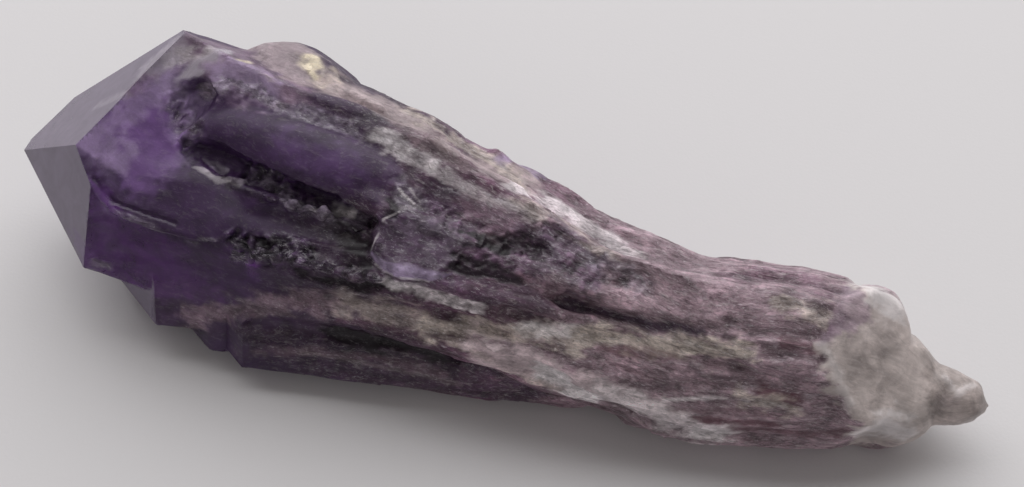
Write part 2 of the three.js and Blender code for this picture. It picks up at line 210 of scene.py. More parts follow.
@dataclass(frozen=True)
class Paper:
    """Plain uncoated paper. Its matt, faintly toothed surface gives a soft shadow and no shine."""

    name: str = "uncoated_paper"
    colour: str = "#dddbdd"
    roughness: float = 0.9
    shine: float = 0.2
    tooth: float = 0.5 * MM
    tooth_detail: float = 3.0
    tooth_height: float = 0.03 * MM
    tooth_strength: float = 0.6

    def material(self) -> bpy.types.Material:
        """Makes the paper's material.

        Returns:
            The material.
        """
        paper = bpy.data.materials.new(self.name)
        paper.use_nodes = True
        tree = paper.node_tree
        surface = tree.nodes["Principled BSDF"]
        surface.inputs["Base Color"].default_value = linear(self.colour)
        surface.inputs["Roughness"].default_value = self.roughness
        surface.inputs["Specular IOR Level"].default_value = self.shine
        where = add_node(tree, "ShaderNodeTexCoord")
        grain = add_node(tree, "ShaderNodeTexNoise", {
            "Vector": where.outputs["Object"], "Scale": 1 / self.tooth, "Detail": self.tooth_detail})
        bump = add_node(tree, "ShaderNodeBump", {
            "Height": grain.outputs["Fac"], "Distance": self.tooth_height, "Strength": self.tooth_strength})
        tree.links.new(bump.outputs["Normal"], surface.inputs["Normal"])
        return paper


@dataclass(frozen=True)
class Studio:
    """The paper floor, the window light behind the crystal and the room's dim light."""

    floor_side: float = 3.0
    room: str = "#cdc8c5"
    room_strength: float = 0.35
    lights: tuple[SoftLight, ...] = (
        SoftLight("window", (-0.20, 0.74, 0.76), (2.4, 1.4), 22.0),
        SoftLight("pale wall", (0.25, -0.9, 0.35), (1.6, 0.8), 0.9),
    )

    def build(self) -> None:
        """Makes the floor, the room's light and the lamps."""
        mesh = bpy.data.meshes.new("paper_floor")
        sheet = bmesh.new()
        bmesh.ops.create_grid(sheet, x_segments=1, y_segments=1, size=self.floor_side / 2)
        sheet.to_mesh(mesh)
        sheet.free()
        mesh.materials.append(Paper().material())
        floor = bpy.data.objects.new("paper_floor", mesh)
        bpy.context.scene.collection.objects.link(floor)
        world = bpy.data.worlds.new("room")
        world.use_nodes = True
        glow = world.node_tree.nodes["Background"]
        glow.inputs["Color"].default_value = linear(self.room)
        glow.inputs["Strength"].default_value = self.room_strength
        bpy.context.scene.world = world
        bpy.context.scene.view_settings.view_transform = "Standard"
        for light in self.lights:
            light.build()


@dataclass(frozen=True)
class Paint:
    """How one kind of quartz looks.

    After its colour come, from 0 to 1, how frosty, fibrous, clear, glossy and patchy it is.
    """

    colour: str
    frost: float
    fibre: float
    clear: float
    gloss: float
    patchy: float

    def row(self) -> np.ndarray:
        """Gives its linear colour and its traits as one row."""
        return np.array((*linear(self.colour)[:3], *(getattr(self, trait) for trait in TRAITS)))


class Look(Enum):
    """The kinds of quartz on this crystal, and the painted shade and light that some marks lay over it."""

    DEEP_VIOLET = Paint("#5a2674", 0.0, 0.08, 0.40, 0.75, 0.6)
    DARK_VIOLET = Paint("#40264f", 0.0, 0.10, 0.35, 0.65, 0.6)
    BRIGHT_VIOLET = Paint("#84629e", 0.0, 0.12, 0.30, 0.60, 0.3)
    LAVENDER = Paint("#b09cc0", 0.05, 0.15, 0.20, 0.70, 0.6)
    POINT_FACE = Paint("#84778f", 0.0, 0.00, 0.35, 0.80, 0.2)
    PALE_FACE = Paint("#b6adba", 0.0, 0.05, 0.20, 0.70, 0.3)
    SMOKE = Paint("#412750", 0.0, 0.12, 0.35, 0.20, 0.6)
    RUST_VIOLET = Paint("#92798f", 0.05, 0.30, 0.20, 0.55, 0.6)
    SHADE = Paint("#422c45", 0.25, 0.50, 0.30, 0.50, 0.6)
    CRUSHED = Paint("#533f55", 0.55, 0.12, 0.20, 0.55, 0.9)
    WINE = Paint("#5c3743", 0.05, 0.30, 0.15, 0.45, 0.4)
    # Painted shade: near-black laid into grooves, holes, slits, undercuts and under flakes, and also on a few
    # small dark specks.
    SHADE_AND_DARK_SPECKS = Paint("#150916", 0.04, 0.10, 0.15, 0.45, 0.5)
    PLUM = Paint("#694a5e", 0.15, 0.85, 0.15, 0.45, 0.7)
    MAUVE = Paint("#967f89", 0.35, 0.62, 0.15, 0.40, 0.85)
    PINK = Paint("#b9a8ab", 0.05, 0.45, 0.20, 0.50, 0.5)
    BEIGE = Paint("#ccbfb7", 0.35, 0.60, 0.05, 0.35, 0.6)
    FROST = Paint("#7f7684", 0.8, 0.20, 0.10, 0.45, 0.5)
    SPARKLE = Paint("#3f3345", 0.9, 0.10, 0.25, 0.80, 0.5)
    WHITE = Paint("#e9e2e5", 0.45, 0.40, 0.05, 0.40, 0.5)
    ROSE = Paint("#d2bfc4", 0.15, 0.40, 0.15, 0.45, 0.4)
    CREAM = Paint("#ddd0b8", 0.45, 0.10, 0.00, 0.15, 0.3)
    MILK = Paint("#beb3b0", 0.12, 0.05, 0.10, 0.50, 0.4)
    # Painted light: milky quartz painted lighter where light falls on the foot, on its top, its rims and the
    # stub's ridge.
    GLOW = Paint("#dcd5d6", 0.08, 0.00, 0.10, 0.50, 0.3)
    GREY_MILK = Paint("#a59a97", 0.15, 0.10, 0.15, 0.50, 0.6)


class Shape(Enum):
    """How a mark's pixels are read."""

    LINE = "a line through them"
    PATCH = "a patch inside them"


@dataclass(frozen=True)
class Mark:
    """A place on the skin with a look of its own, through pixels of the photograph.

    A line's size is its half width and a patch's is the width of its soft edge, in mm. The lift, in mm
    too, raises the skin there or, below zero, sinks it. The depth is how far above and below its
    outline a patch still reaches, in mm.
    """

    name: str
    look: Look
    pixels: tuple[Pixel, ...]
    size: float
    strength: float = 1.0
    lift: float = 0.0
    shape: Shape = Shape.LINE
    depth: float = 4.0


def patch(name: str, look: Look, pixels: tuple[Pixel, ...], edge: float, strength: float = 1.0,
          depth: float = 4.0) -> Mark:
    """Gives a mark that fills the outline through its pixels.

    Args:
        name: What it is.
        look: The kind of quartz.
        pixels: The outline's corners.
        edge: The width of its soft edge, in mm.
        strength: How much it covers what is below, from 0 to 1.
        depth: How far above and below its outline it still reaches, in mm.

    Returns:
        The mark.
    """
    return Mark(name, look, pixels, edge, strength, shape=Shape.PATCH, depth=depth)


# What the skin looks like along the crystal, in mm from the middle, before any mark.
COATS = (
    (-73, Look.DEEP_VIOLET), (-62, Look.DEEP_VIOLET), (-52, Look.SMOKE), (-30, Look.SMOKE),
    (-14, Look.SHADE), (4, Look.PLUM), (22, Look.MAUVE), (58, Look.MAUVE), (62, Look.MILK), (73, Look.MILK),
)

# The marks of the head, from its point backwards. Later ones lie over earlier ones.
HEAD_MARKS = (
    patch("deep violet front face", Look.DEEP_VIOLET,
          ((92, 184), (112, 213), (196, 245), (250, 262), (250, 300), (150, 292), (88, 268)),
          2.0, 0.85, depth=6),
    patch("warm haze below the front face", Look.RUST_VIOLET,
          ((150, 284), (240, 296), (330, 306), (330, 330), (240, 350), (160, 322)), 3.0, 0.1, depth=10),
    patch("warm violet top", Look.RUST_VIOLET,
          ((182, 34), (250, 46), (300, 84), (270, 94), (236, 82), (214, 70), (190, 60), (170, 62)),
          2.0, 0.66),
    Mark("pit wall", Look.LAVENDER, ((170, 92), (186, 104), (200, 112), (194, 128)), 2.6, 0.5),
    patch("front platform", Look.SMOKE,
          ((130, 186), (160, 172), (200, 180), (250, 196), (268, 214), (240, 236), (196, 236), (140, 212)),
          3.6, 0.85),
    patch("long swelling", Look.SMOKE,
          ((200, 112), (250, 102), (300, 116), (360, 140), (395, 170), (398, 196), (340, 192), (290, 178),
           (240, 154), (200, 138)), 2.4, 0.75, depth=8),
    Mark("dark front face", Look.DARK_VIOLET, ((196, 258), (225, 272), (244, 292)), 3.6, 0.7),
    patch("bright violet cloud", Look.BRIGHT_VIOLET,
          ((76, 143), (96, 122), (140, 95), (158, 108), (172, 146), (152, 176), (125, 178)), 5.5, 0.85),
    Mark("pale cloud in the violet", Look.LAVENDER, ((90, 140), (104, 150), (112, 158)), 3.2, 0.6),
    Mark("violet by the top edge", Look.LAVENDER, ((120, 118), (150, 92), (172, 66)), 2.4, 0.5),
    patch("smoky facet by the ledge", Look.SMOKE, ((76, 148), (124, 178), (112, 200), (92, 178)), 0.5, 0.6),
    Mark("pale hackles at the top", Look.WHITE, ((166, 58), (190, 55), (216, 57)), 1.3, 0.5),
    patch("narrow grey facet", Look.PALE_FACE,
          ((178, 82), (188, 68), (222, 50), (232, 52), (205, 70)), 0.8, 1.0),
    Mark("warm shoulder", Look.RUST_VIOLET, ((222, 72), (245, 84), (290, 92)), 3.0, 0.9),
    Mark("pit rim", Look.LAVENDER, ((160, 112), (166, 132), (176, 150), (188, 164)), 0.3, 0.15),
    Mark("shoulder glow", Look.LAVENDER, ((222, 74), (240, 80), (266, 88)), 2.8, 0.75),
    # Painted shade on the floor of the pit.
    Mark("painted shade on the pit floor", Look.SHADE, ((180, 116), (194, 127)), 1.3, 0.55),
    Mark("pit sparkle", Look.FROST, ((170, 105), (175, 125), (188, 140)), 1.2, 0.4),
    Mark("frost line on the head", Look.FROST,
         ((205, 88), (229, 86), (260, 94), (283, 109), (310, 116), (327, 125), (352, 126)), 1.3, 0.65),
    Mark("violet on the swelling", Look.BRIGHT_VIOLET, ((286, 146), (312, 156), (345, 166)), 3.0, 0.3),
    # Painted shade in the groove below the swelling; the mark also sinks the skin there.
    Mark("dark groove", Look.SHADE_AND_DARK_SPECKS,
         ((189, 142), (207, 148), (238, 158), (263, 168), (294, 184), (330, 196), (368, 200)),
         0.9, 0.3, -0.25),
    patch("first flake", Look.WHITE,
          ((193, 167), (203, 168), (214, 173), (226, 177), (230, 181), (216, 179), (203, 175)), 0.3, 0.36),
    patch("second flake", Look.PALE_FACE,
          ((203, 160), (218, 163), (229, 171), (222, 175), (212, 169)), 0.4, 0.4),
    patch("third flake", Look.WHITE,
          ((224, 176), (238, 179), (247, 183), (240, 186), (229, 182)), 0.3, 0.25),
    # Painted shade under the flakes.
    Mark("painted shade under the flakes", Look.SHADE_AND_DARK_SPECKS, ((228, 186), (246, 192), (262, 198)), 0.8, 0.7),
    Mark("shard trail", Look.FROST, ((250, 182), (262, 176), (276, 190), (290, 198)), 1.4, 0.55),
    Mark("small pale nicks", Look.FROST, ((160, 190), (168, 193)), 0.3, 0.3),
    Mark("grey hackle field", Look.FROST, ((288, 205), (320, 212), (352, 222)), 2.6, 0.55),
    Mark("dotted nicks", Look.WHITE, ((338, 209), (350, 212)), 1.0, 0.95),
    # Painted highlight along the ledge's front edge, and painted shade in the line under the ledge; both also
    # raise or sink the skin a little.
    Mark("painted highlight on the ledge front", Look.BRIGHT_VIOLET, ((90, 180), (102, 198), (113, 212)), 0.45, 0.6, 0.15),
    Mark("painted shade under the ledge", Look.DARK_VIOLET,
         ((94, 178), (113, 202), (140, 211), (174, 223)), 0.45, 1.0, -0.2),
    Mark("ledge stripe side", Look.FROST, ((113, 212), (150, 226), (196, 243)), 0.55, 0.4, 0.1),
    Mark("ledge pale line", Look.FROST, ((198, 240), (220, 241), (240, 241)), 0.4, 0.5),
    Mark("deep violet front corner", Look.DEEP_VIOLET, ((100, 215), (120, 250), (170, 262)), 3.0, 0.5),
    Mark("glow in the front face", Look.BRIGHT_VIOLET, ((98, 206), (105, 226), (112, 246)), 1.8, 0.25),
    Mark("sparkle cluster", Look.SPARKLE, ((238, 243), (250, 252), (275, 244), (304, 252)), 1.7, 0.75),
    # Painted shade in a small hole among the sparkles; the mark also sinks the skin there.
    Mark("painted shade in the hole by the sparkles", Look.SHADE_AND_DARK_SPECKS, ((252, 240), (263, 244)), 1.2, 0.9, -0.6),
    Mark("sparkle band", Look.SPARKLE,
         ((236, 258), (270, 258), (310, 264), (350, 270), (378, 280)), 0.9, 0.8),
    Mark("corner nicks", Look.FROST, ((96, 263), (108, 266)), 0.8, 0.6),
    patch("lower crystal facet", Look.POINT_FACE,
          ((121, 281), (151, 290), (152, 317), (140, 305)), 0.4, 0.8),
)

# The marks of the lump and the upper flank, down to the foot.
FLANK_MARKS = (
    patch("lump", Look.PINK,
          ((249, 48), (262, 40), (282, 39), (300, 43), (324, 62), (334, 92), (300, 84), (268, 68)),
          1.4, 0.65),
    Mark("cream on the lump", Look.CREAM, ((313, 62), (320, 72), (330, 80)), 1.9, 0.95),
    Mark("cream on the crest", Look.CREAM, ((240, 60), (248, 62)), 0.7, 0.8),
    Mark("cream specks", Look.CREAM, ((266, 74), (272, 80)), 0.35, 0.25),
    Mark("cream on the flank", Look.CREAM, ((340, 84), (352, 92), (372, 100)), 1.0, 0.15),
    Mark("flank pink", Look.PINK, ((340, 92), (400, 118), (450, 146), (520, 180)), 3.6, 0.9),
    Mark("flank mauve", Look.PLUM, ((397, 128), (430, 148), (470, 170), (500, 190)), 2.0, 0.5),
    Mark("crest dark line", Look.SHADE,
         ((249, 58), (290, 86), (330, 108), (366, 128), (400, 143)), 0.6, 0.55),
    Mark("white patch", Look.WHITE, ((376, 133), (388, 141), (402, 149)), 1.5, 0.58),
    Mark("white patch behind", Look.WHITE, ((409, 153), (420, 160), (432, 167)), 1.4, 0.52),
    Mark("white streak", Look.WHITE, ((432, 170), (458, 186), (490, 200), (533, 214)), 1.0, 0.5),
    Mark("pale edge", Look.BEIGE, ((410, 112), (450, 138), (490, 160), (520, 182)), 1.4, 0.7),
    Mark("pale crest", Look.WHITE, ((519, 188), (560, 208), (600, 232), (630, 254)), 1.9, 0.58),
    Mark("pale crest low", Look.BEIGE, ((530, 204), (570, 226), (610, 250)), 1.8, 0.5),
    Mark("violet bump", Look.LAVENDER, ((504, 160), (522, 164), (540, 174)), 1.2, 0.6),
    Mark("back mauve", Look.MAUVE, ((638, 242), (680, 256), (727, 270)), 2.2, 0.5),
)

# The marks of the body's broken middle.
MIDDLE_MARKS = (
    patch("crushed middle", Look.CRUSHED,
          ((390, 186), (430, 184), (470, 204), (520, 226), (556, 246), (560, 270), (520, 278), (470, 270),
           (440, 282), (404, 276), (376, 262), (368, 246), (380, 218)), 1.6, 0.75, depth=8),
    patch("glass", Look.FROST, ((396, 186), (408, 184), (426, 200), (430, 210), (398, 209)), 0.5, 0.5),
    Mark("first glass edge", Look.WHITE, ((399, 189), (406, 197), (414, 204)), 0.2, 0.8),
    Mark("second glass edge", Look.WHITE, ((410, 188), (415, 196), (420, 202)), 0.2, 0.5),
    Mark("frost under the glass", Look.WHITE, ((398, 208), (408, 208), (418, 206)), 0.5, 0.2),
    Mark("shard shade", Look.SHADE_AND_DARK_SPECKS, ((388, 200), (394, 208), (390, 216)), 1.0, 0.9, -0.3),
    patch("chip", Look.SMOKE,
          ((380, 218), (397, 211), (412, 214), (452, 236), (452, 272), (407, 268), (378, 262), (370, 249)),
          0.8, 0.25),
    patch("chip bevel", Look.LAVENDER,
          ((371, 251), (384, 261), (404, 266), (428, 271), (451, 274), (428, 280), (405, 278), (383, 270)),
          0.35, 0.95),
    Mark("chip outline", Look.WHITE, ((400, 211), (384, 219), (378, 236), (371, 250)), 0.22, 0.55),
    Mark("chip bevel grain", Look.FROST, ((380, 262), (405, 270), (440, 276)), 0.7, 0.3),
    Mark("chip bevel edge", Look.WHITE, ((376, 264), (384, 271), (405, 278), (428, 281)), 0.2, 0.6),
    Mark("dark before the chip", Look.SHADE_AND_DARK_SPECKS, ((346, 236), (360, 246), (362, 262)), 2.6, 1.0),
    Mark("chip haze", Look.FROST, ((388, 234), (406, 238), (424, 246), (440, 256)), 2.2, 0.2),
    Mark("chip frost", Look.FROST, ((410, 224), (436, 228), (462, 240)), 1.5, 0.4),
    Mark("dark above the chip", Look.SHADE, ((424, 196), (446, 214), (470, 226)), 1.6, 0.5),
    Mark("dark under the crust", Look.SHADE_AND_DARK_SPECKS, ((470, 236), (490, 244), (506, 248)), 1.6, 1.0),
    Mark("mauve behind the chip", Look.MAUVE, ((474, 208), (500, 226)), 2.4, 0.35),
    # Painted shade in the sunken places behind the chip and below the violet.
    Mark("painted shade behind the chip", Look.SHADE_AND_DARK_SPECKS, ((506, 238), (522, 247), (536, 250)), 1.5, 0.7, -0.3),
    Mark("painted shade below the violet", Look.SHADE_AND_DARK_SPECKS, ((456, 258), (476, 262), (498, 268)), 0.9, 0.85, -0.3),
    Mark("hackly middle", Look.CRUSHED, ((552, 232), (570, 256), (584, 276)), 3.2, 0.8),
    Mark("hackly middle end", Look.FROST, ((590, 262), (622, 272), (640, 286)), 1.7, 0.5),
    # Painted shade in the sunken band below the chip.
    Mark("painted shade below the chip", Look.SHADE_AND_DARK_SPECKS, ((300, 274), (345, 283), (396, 288)), 1.1, 0.9, -0.3),
    Mark("frost below the chip", Look.WHITE, ((386, 282), (420, 290), (478, 306)), 1.2, 0.65),
    Mark("shaded stripe", Look.SHADE, ((448, 284), (500, 296), (548, 308)), 1.7, 0.65),
    # Painted shade in small sunken dashes.
    Mark("dark dashes", Look.SHADE_AND_DARK_SPECKS, ((452, 266), (480, 274), (520, 282)), 0.9, 0.9, -0.2),
    Mark("shade in the pointed groove", Look.SHADE,
         ((560, 302), (610, 314), (660, 326), (704, 333)), 0.8, 0.9, -0.2),
    Mark("beige slope", Look.BEIGE, ((346, 302), (380, 312), (424, 322)), 2.2, 0.5),
    Mark("beige slope edge", Look.PLUM, ((338, 320), (380, 326), (426, 336)), 0.9, 0.7),
    Mark("pale streak", Look.BEIGE, ((428, 326), (480, 330), (540, 332), (580, 342)), 1.6, 0.85),
    Mark("pale streak bright", Look.WHITE, ((524, 328), (550, 332), (576, 334)), 1.2, 0.7),
    Mark("long pale streak", Look.BEIGE, ((590, 334), (650, 344), (742, 353)), 1.7, 1.0),
)

# The marks of the lower side and the skirt below it.
LOWER_MARKS = (
    Mark("oblique crest", Look.BEIGE,
         ((430, 331), (470, 349), (509, 369), (570, 395), (640, 426)), 0.6, 0.6, 0.2),
    Mark("oblique face", Look.ROSE, ((480, 346), (540, 366), (600, 392), (660, 414)), 2.6, 0.9),
    Mark("oblique face glow", Look.WHITE, ((545, 372), (570, 384), (590, 396)), 1.9, 1.0),
    # Painted shade on the flank under the beige slope, in the slope's shadow; these marks also sink the skin
    # there.
    Mark("shaded flank", Look.SHADE_AND_DARK_SPECKS,
         ((334, 333), (360, 338), (392, 344), (432, 352), (458, 360)), 2.3, 1.0, -0.3),
    Mark("shaded flank tail", Look.SHADE, ((452, 358), (490, 372), (540, 392)), 1.6, 0.8, -0.4),
    Mark("shaded skirt", Look.SHADE, ((250, 340), (330, 360), (430, 378), (520, 396)), 2.8, 0.75),
    Mark("skirt pale band", Look.MAUVE, ((236, 351), (300, 351), (380, 359), (440, 373)), 0.9, 0.35),
    Mark("skirt dark line", Look.SHADE_AND_DARK_SPECKS, ((330, 367), (400, 379), (470, 391)), 0.4, 0.35),
    Mark("violet start of the skirt", Look.DARK_VIOLET, ((194, 334), (216, 343), (240, 346)), 1.9, 0.8),
    Mark("skirt pale lines", Look.BEIGE, ((300, 352), (380, 366), (460, 384)), 0.4, 0.12),
    # More painted shade in the middle of the shaded flank.
    Mark("shaded flank heart", Look.SHADE_AND_DARK_SPECKS, ((366, 341), (396, 345), (430, 351)), 1.0, 0.85),
    Mark("lower mauve", Look.MAUVE, ((190, 318), (260, 306), (330, 300)), 1.8, 0.6),
    Mark("pale root", Look.WHITE, ((610, 398), (660, 416), (720, 434)), 2.8, 0.6),
    Mark("root white", Look.WHITE, ((700, 432), (716, 436), (732, 432)), 1.6, 0.85),
)

# The marks of the root and the foot.
ROOT_MARKS = (
    # Painted shade in a slit in the root.
    Mark("dark slit in the root", Look.SHADE_AND_DARK_SPECKS, ((776, 388), (782, 394), (790, 398)), 0.7, 0.3),
    Mark("wine streak above the lens", Look.WINE, ((604, 350), (640, 352), (676, 355)), 0.9, 0.6),
    Mark("dark curl", Look.SHADE_AND_DARK_SPECKS, ((692, 366), (702, 375), (716, 378), (734, 378)), 0.55, 0.6),
    Mark("dark speck", Look.SHADE_AND_DARK_SPECKS, ((658, 384), (676, 386)), 0.7, 0.4),
    Mark("wine streak", Look.WINE, ((763, 388), (778, 396), (796, 402)), 1.2, 0.85),
    Mark("pale lens rim", Look.WHITE, ((664, 400), (700, 398), (750, 402), (784, 408)), 0.35, 0.7),
    Mark("wine root line", Look.WINE, ((694, 418), (730, 421), (780, 424)), 0.7, 0.9),
    Mark("wine root band", Look.WINE, ((733, 429), (790, 432), (848, 431)), 1.0, 0.75),
    Mark("wine line under the lens", Look.WINE, ((668, 408), (700, 412), (740, 411), (782, 416)), 0.5, 0.4),
    Mark("wine patch by the foot", Look.WINE, ((788, 341), (806, 348), (816, 352)), 1.3, 0.7),
    Mark("dark nick", Look.SHADE_AND_DARK_SPECKS, ((725, 336), (733, 338)), 0.5, 0.7),
    Mark("second dark nick", Look.SHADE_AND_DARK_SPECKS, ((765, 344), (773, 346)), 0.4, 0.35),
    Mark("root mauve", Look.PLUM, ((727, 274), (780, 278), (830, 290)), 2.6, 0.55),
    Mark("root beige streaks", Look.BEIGE, ((780, 300), (804, 308), (830, 318)), 1.6, 0.7),
    Mark("root beige patch", Look.BEIGE, ((740, 398), (770, 404), (792, 410)), 1.4, 0.75),
    patch("milky foot", Look.MILK,
          ((857, 290), (868, 282), (905, 300), (930, 355), (990, 380), (990, 410), (930, 430), (888, 444),
           (852, 444), (838, 396), (818, 348), (848, 318)), 1.5, 0.95, depth=40),
    patch("pink wedge", Look.RUST_VIOLET,
          ((846, 288), (858, 292), (868, 312), (862, 324), (836, 336), (820, 344)), 1.0, 0.7),
    Mark("glow in the pink wedge", Look.ROSE, ((846, 302), (856, 312)), 2.4, 0.4),
    # Painted light on the top of the foot, where the window light falls.
    Mark("painted light on the top of the foot", Look.GLOW, ((868, 286), (880, 294), (896, 304)), 3.0, 1.0),
    Mark("grey cloud in the foot", Look.GREY_MILK, ((862, 350), (880, 366), (884, 392)), 3.0, 0.25),
    Mark("pale cloud in the foot", Look.GLOW, ((868, 430), (884, 424), (900, 432)), 2.4, 1.0),
    patch("grey stub", Look.GREY_MILK,
          ((926, 372), (942, 366), (986, 386), (990, 408), (966, 424), (930, 424)), 1.5, 1.0, depth=30),
    # Painted highlight on the stub's ridge, and painted shade in the hollow below it; they also raise and
    # sink the skin a little.
    Mark("stub ridge", Look.GLOW,
         ((945, 376), (952, 388), (958, 395), (966, 388), (974, 386)), 0.5, 0.5, 0.2),
    Mark("hollow by the stub ridge", Look.SHADE, ((944, 400), (952, 404)), 1.0, 0.15, -0.15),
    # Painted light on the foot's raised rim.
    Mark("foot rim", Look.GLOW, ((822, 346), (838, 372), (846, 402), (856, 436)), 0.9, 0.45, 0.1),
)

MARKS = (*HEAD_MARKS, *FLANK_MARKS, *MIDDLE_MARKS, *LOWER_MARKS, *ROOT_MARKS)

# The marks on the flat faces of the point: a painted sheen and a painted reflection on the top face, a
# mottle, and a violet foot on the front face.
POINT_MARKS = (
    # Painted sheen: the top face paler near its upper edge, where it reflects the bright surroundings, and a
    # thin painted reflection streak below it.
    Mark("painted sheen on the top face", Look.PALE_FACE, ((148, 67), (160, 57), (173, 46)), 2.4, 0.6),
    Mark("painted reflection on the top face", Look.PALE_FACE, ((97, 106), (112, 99), (127, 94)), 0.9, 0.4),
    Mark("mottle on the top face", Look.RUST_VIOLET, ((131, 94), (140, 86), (149, 78)), 1.2, 0.4),
    Mark("violet foot of the front face", Look.BRIGHT_VIOLET, ((76, 236), (84, 252), (88, 264)), 1.6, 0.35),
)


@dataclass(frozen=True)
class Fine:
    """A line, through pixels of the photograph, along which the skin is finer.

    The reach is how far it goes to each side, and the shards are how high its broken facets are, in mm.
    """

    name: str
    pixels: tuple[Pixel, ...]
    reach: float
    shards: float


FINE = (
    Fine("ledge", ((80, 150), (92, 180), (113, 205), (150, 222), (196, 241), (238, 241)), 1.4, 0.0),
    Fine("pit", ((176, 100), (184, 116), (192, 128), (186, 146)), 2.2, 0.32),
    Fine("top crest", ((204, 88), (229, 86), (260, 94), (283, 109), (327, 125), (352, 126)), 1.4, 0.18),
    Fine("white shards", ((190, 160), (207, 168), (222, 173), (242, 181)), 1.9, 0.25),
    Fine("hackly edge", ((252, 172), (274, 180), (292, 192), (304, 203)), 2.4, 0.48),
    Fine("hackle field", ((290, 206), (320, 212), (352, 220), (364, 226)), 3.0, 0.3),
    Fine("sparkle cluster", ((236, 242), (252, 250), (275, 246), (304, 252)), 2.4, 0.7),
    Fine("sparkle band", ((250, 260), (300, 262), (330, 267), (360, 274)), 1.3, 0.4),
    Fine("glass shards", ((398, 184), (408, 196), (422, 208)), 1.9, 0.2),
    Fine("chip edge", ((381, 219), (397, 211), (414, 214), (452, 238), (450, 274), (407, 276), (381, 266),
                       (370, 249), (381, 219)), 1.3, 0.1),
    Fine("crushed middle", ((436, 214), (470, 232), (505, 244), (540, 252)), 2.6, 0.35),
    Fine("crushed edge", ((456, 258), (492, 264), (525, 268)), 1.6, 0.35),
    Fine("middle hackles", ((546, 230), (568, 252), (586, 276)), 2.8, 0.3),
    Fine("middle hackles end", ((590, 262), (612, 272), (640, 286)), 2.2, 0.3),
    Fine("below the chip", ((390, 284), (420, 292), (478, 308)), 1.4, 0.3),
)


@dataclass(frozen=True)
class Worn:
    """A place that is smoother in the photograph than on the solid, through pixels. The reach is in mm."""

    name: str
    pixels: tuple[Pixel, ...]
    reach: float
    rounds: int


WORN = (
    Worn("platform ridge", ((194, 176), (206, 190), (222, 212), (236, 234)), 3.0, 120),
    Worn("front ridge", ((124, 156), (150, 158), (182, 164)), 2.6, 90),
    Worn("root peak", ((766, 288), (780, 293), (796, 298)), 3.0, 60),
    Worn("skirt pit", ((600, 408), (616, 414), (634, 416)), 3.6, 120),
    Worn("slope nicks", ((524, 342), (548, 347), (578, 352)), 2.4, 90),
    Worn("lump hollow", ((306, 66), (318, 74), (332, 84)), 2.8, 60),
)


def smooth_step(values: np.ndarray, low: float, high: float) -> np.ndarray:
    """Rises softly from 0 at low to 1 at high.

    Args:
        values: What is compared.
        low: Where it is still 0.
        high: Where it is 1. It may be less than low.

    Returns:
        A share for each value.
    """
    share = np.clip((values - low) / (high - low), 0.0, 1.0)
    return share * share * (3 - 2 * share)


def waves(points: np.ndarray, size: Size | float) -> np.ndarray:
    """Gives soft random waves.

    Args:
        points: Where, in metres.
        size: How long the waves are along each direction, in metres.

    Returns:
        A height from about -1 to 1 for each point.
    """
    return np.array([noise.noise(Vector(p)) for p in points / size])


# The usual sine hash: it turns a corner's three whole numbers into a chance from 0 to 1.
HASH_WAVES = (12.9898, 78.233, 37.719)
HASH_REACH = 43758.5453


def facets(points: np.ndarray, size: Size | float, turn: float) -> np.ndarray:
    """Gives the heights of broken quartz: flat facets that meet in sharp creases.

    Space is cut into skewed boxes with a random height at each corner, and each box into six flat wedges.

    Args:
        points: Where, in metres.
        size: How large a box is along each direction, in metres.
        turn: How far the boxes are turned about X, in radians.

    Returns:
        A height from -1 to 1 for each point.
    """
    cos, sin = math.cos(turn), math.sin(turn)
    # The boxes lean a little, so that no crease lies square to an axis.
    skew = np.array(((1.0, 0.2, -0.3), (0.3, cos, sin), (-0.25, -sin, cos)))
    cells = (points / size) @ skew
    corner = np.floor(cells)
    inside = cells - corner
    order = np.argsort(-inside, axis=1)
    shares = np.take_along_axis(inside, order, axis=1)
    shares = np.column_stack((np.ones(len(cells)), shares, np.zeros(len(cells))))
    height = np.zeros(len(cells))
    for rank in range(4):
        chance = np.sin(corner @ HASH_WAVES) * HASH_REACH % 1
        height += (2 * chance - 1) * (shares[:, rank] - shares[:, rank + 1])
        if rank < 3:
            corner[np.arange(len(cells)), order[:, rank]] += 1
    return height


@dataclass(frozen=True)
class Facets:
    """Broken quartz in two sizes: coarse facets, with finer ones over them.

    Each size is in metres, one length or three along and across the grain, and each turn is in radians.
    """

    coarse: Size | float
    coarse_turn: float
    fine: Size | float
    fine_turn: float
    fine_share: float = 0.4

    def heights(self, points: np.ndarray) -> np.ndarray:
        """Gives the heights of the broken surface.

        Args:
            points: Where, in metres.

        Returns:
            A height for each point, mostly from -1 to 1.
        """
        return (facets(points, self.coarse, self.coarse_turn)
                + self.fine_share * facets(points, self.fine, self.fine_turn))


@dataclass(frozen=True)
class Pattern:
    """Noise that runs along the grain: the size of its pieces, how rough it is and how far it is bent."""

    name: str
    size: Size
    rough: float
    bend: float


@dataclass(frozen=True)
class Mottle:
    """A pattern that darkens and lightens what is below, as much as one of the paints' traits says.

    Where the pattern is at its low value the colour is multiplied by dark, and at its high one by light.
    """

    pattern: str
    low: float
    high: float
    dark: float
    light: float
    trait: str


@dataclass(frozen=True)
class Layer:
    """A colour that covers its share of what is below, where a pattern passes from start to full.

    One of the paints' traits says how much of it there is.
    """

    name: str
    colour: str
    pattern: str
    start: float
    full: float
    share: float
    trait: str


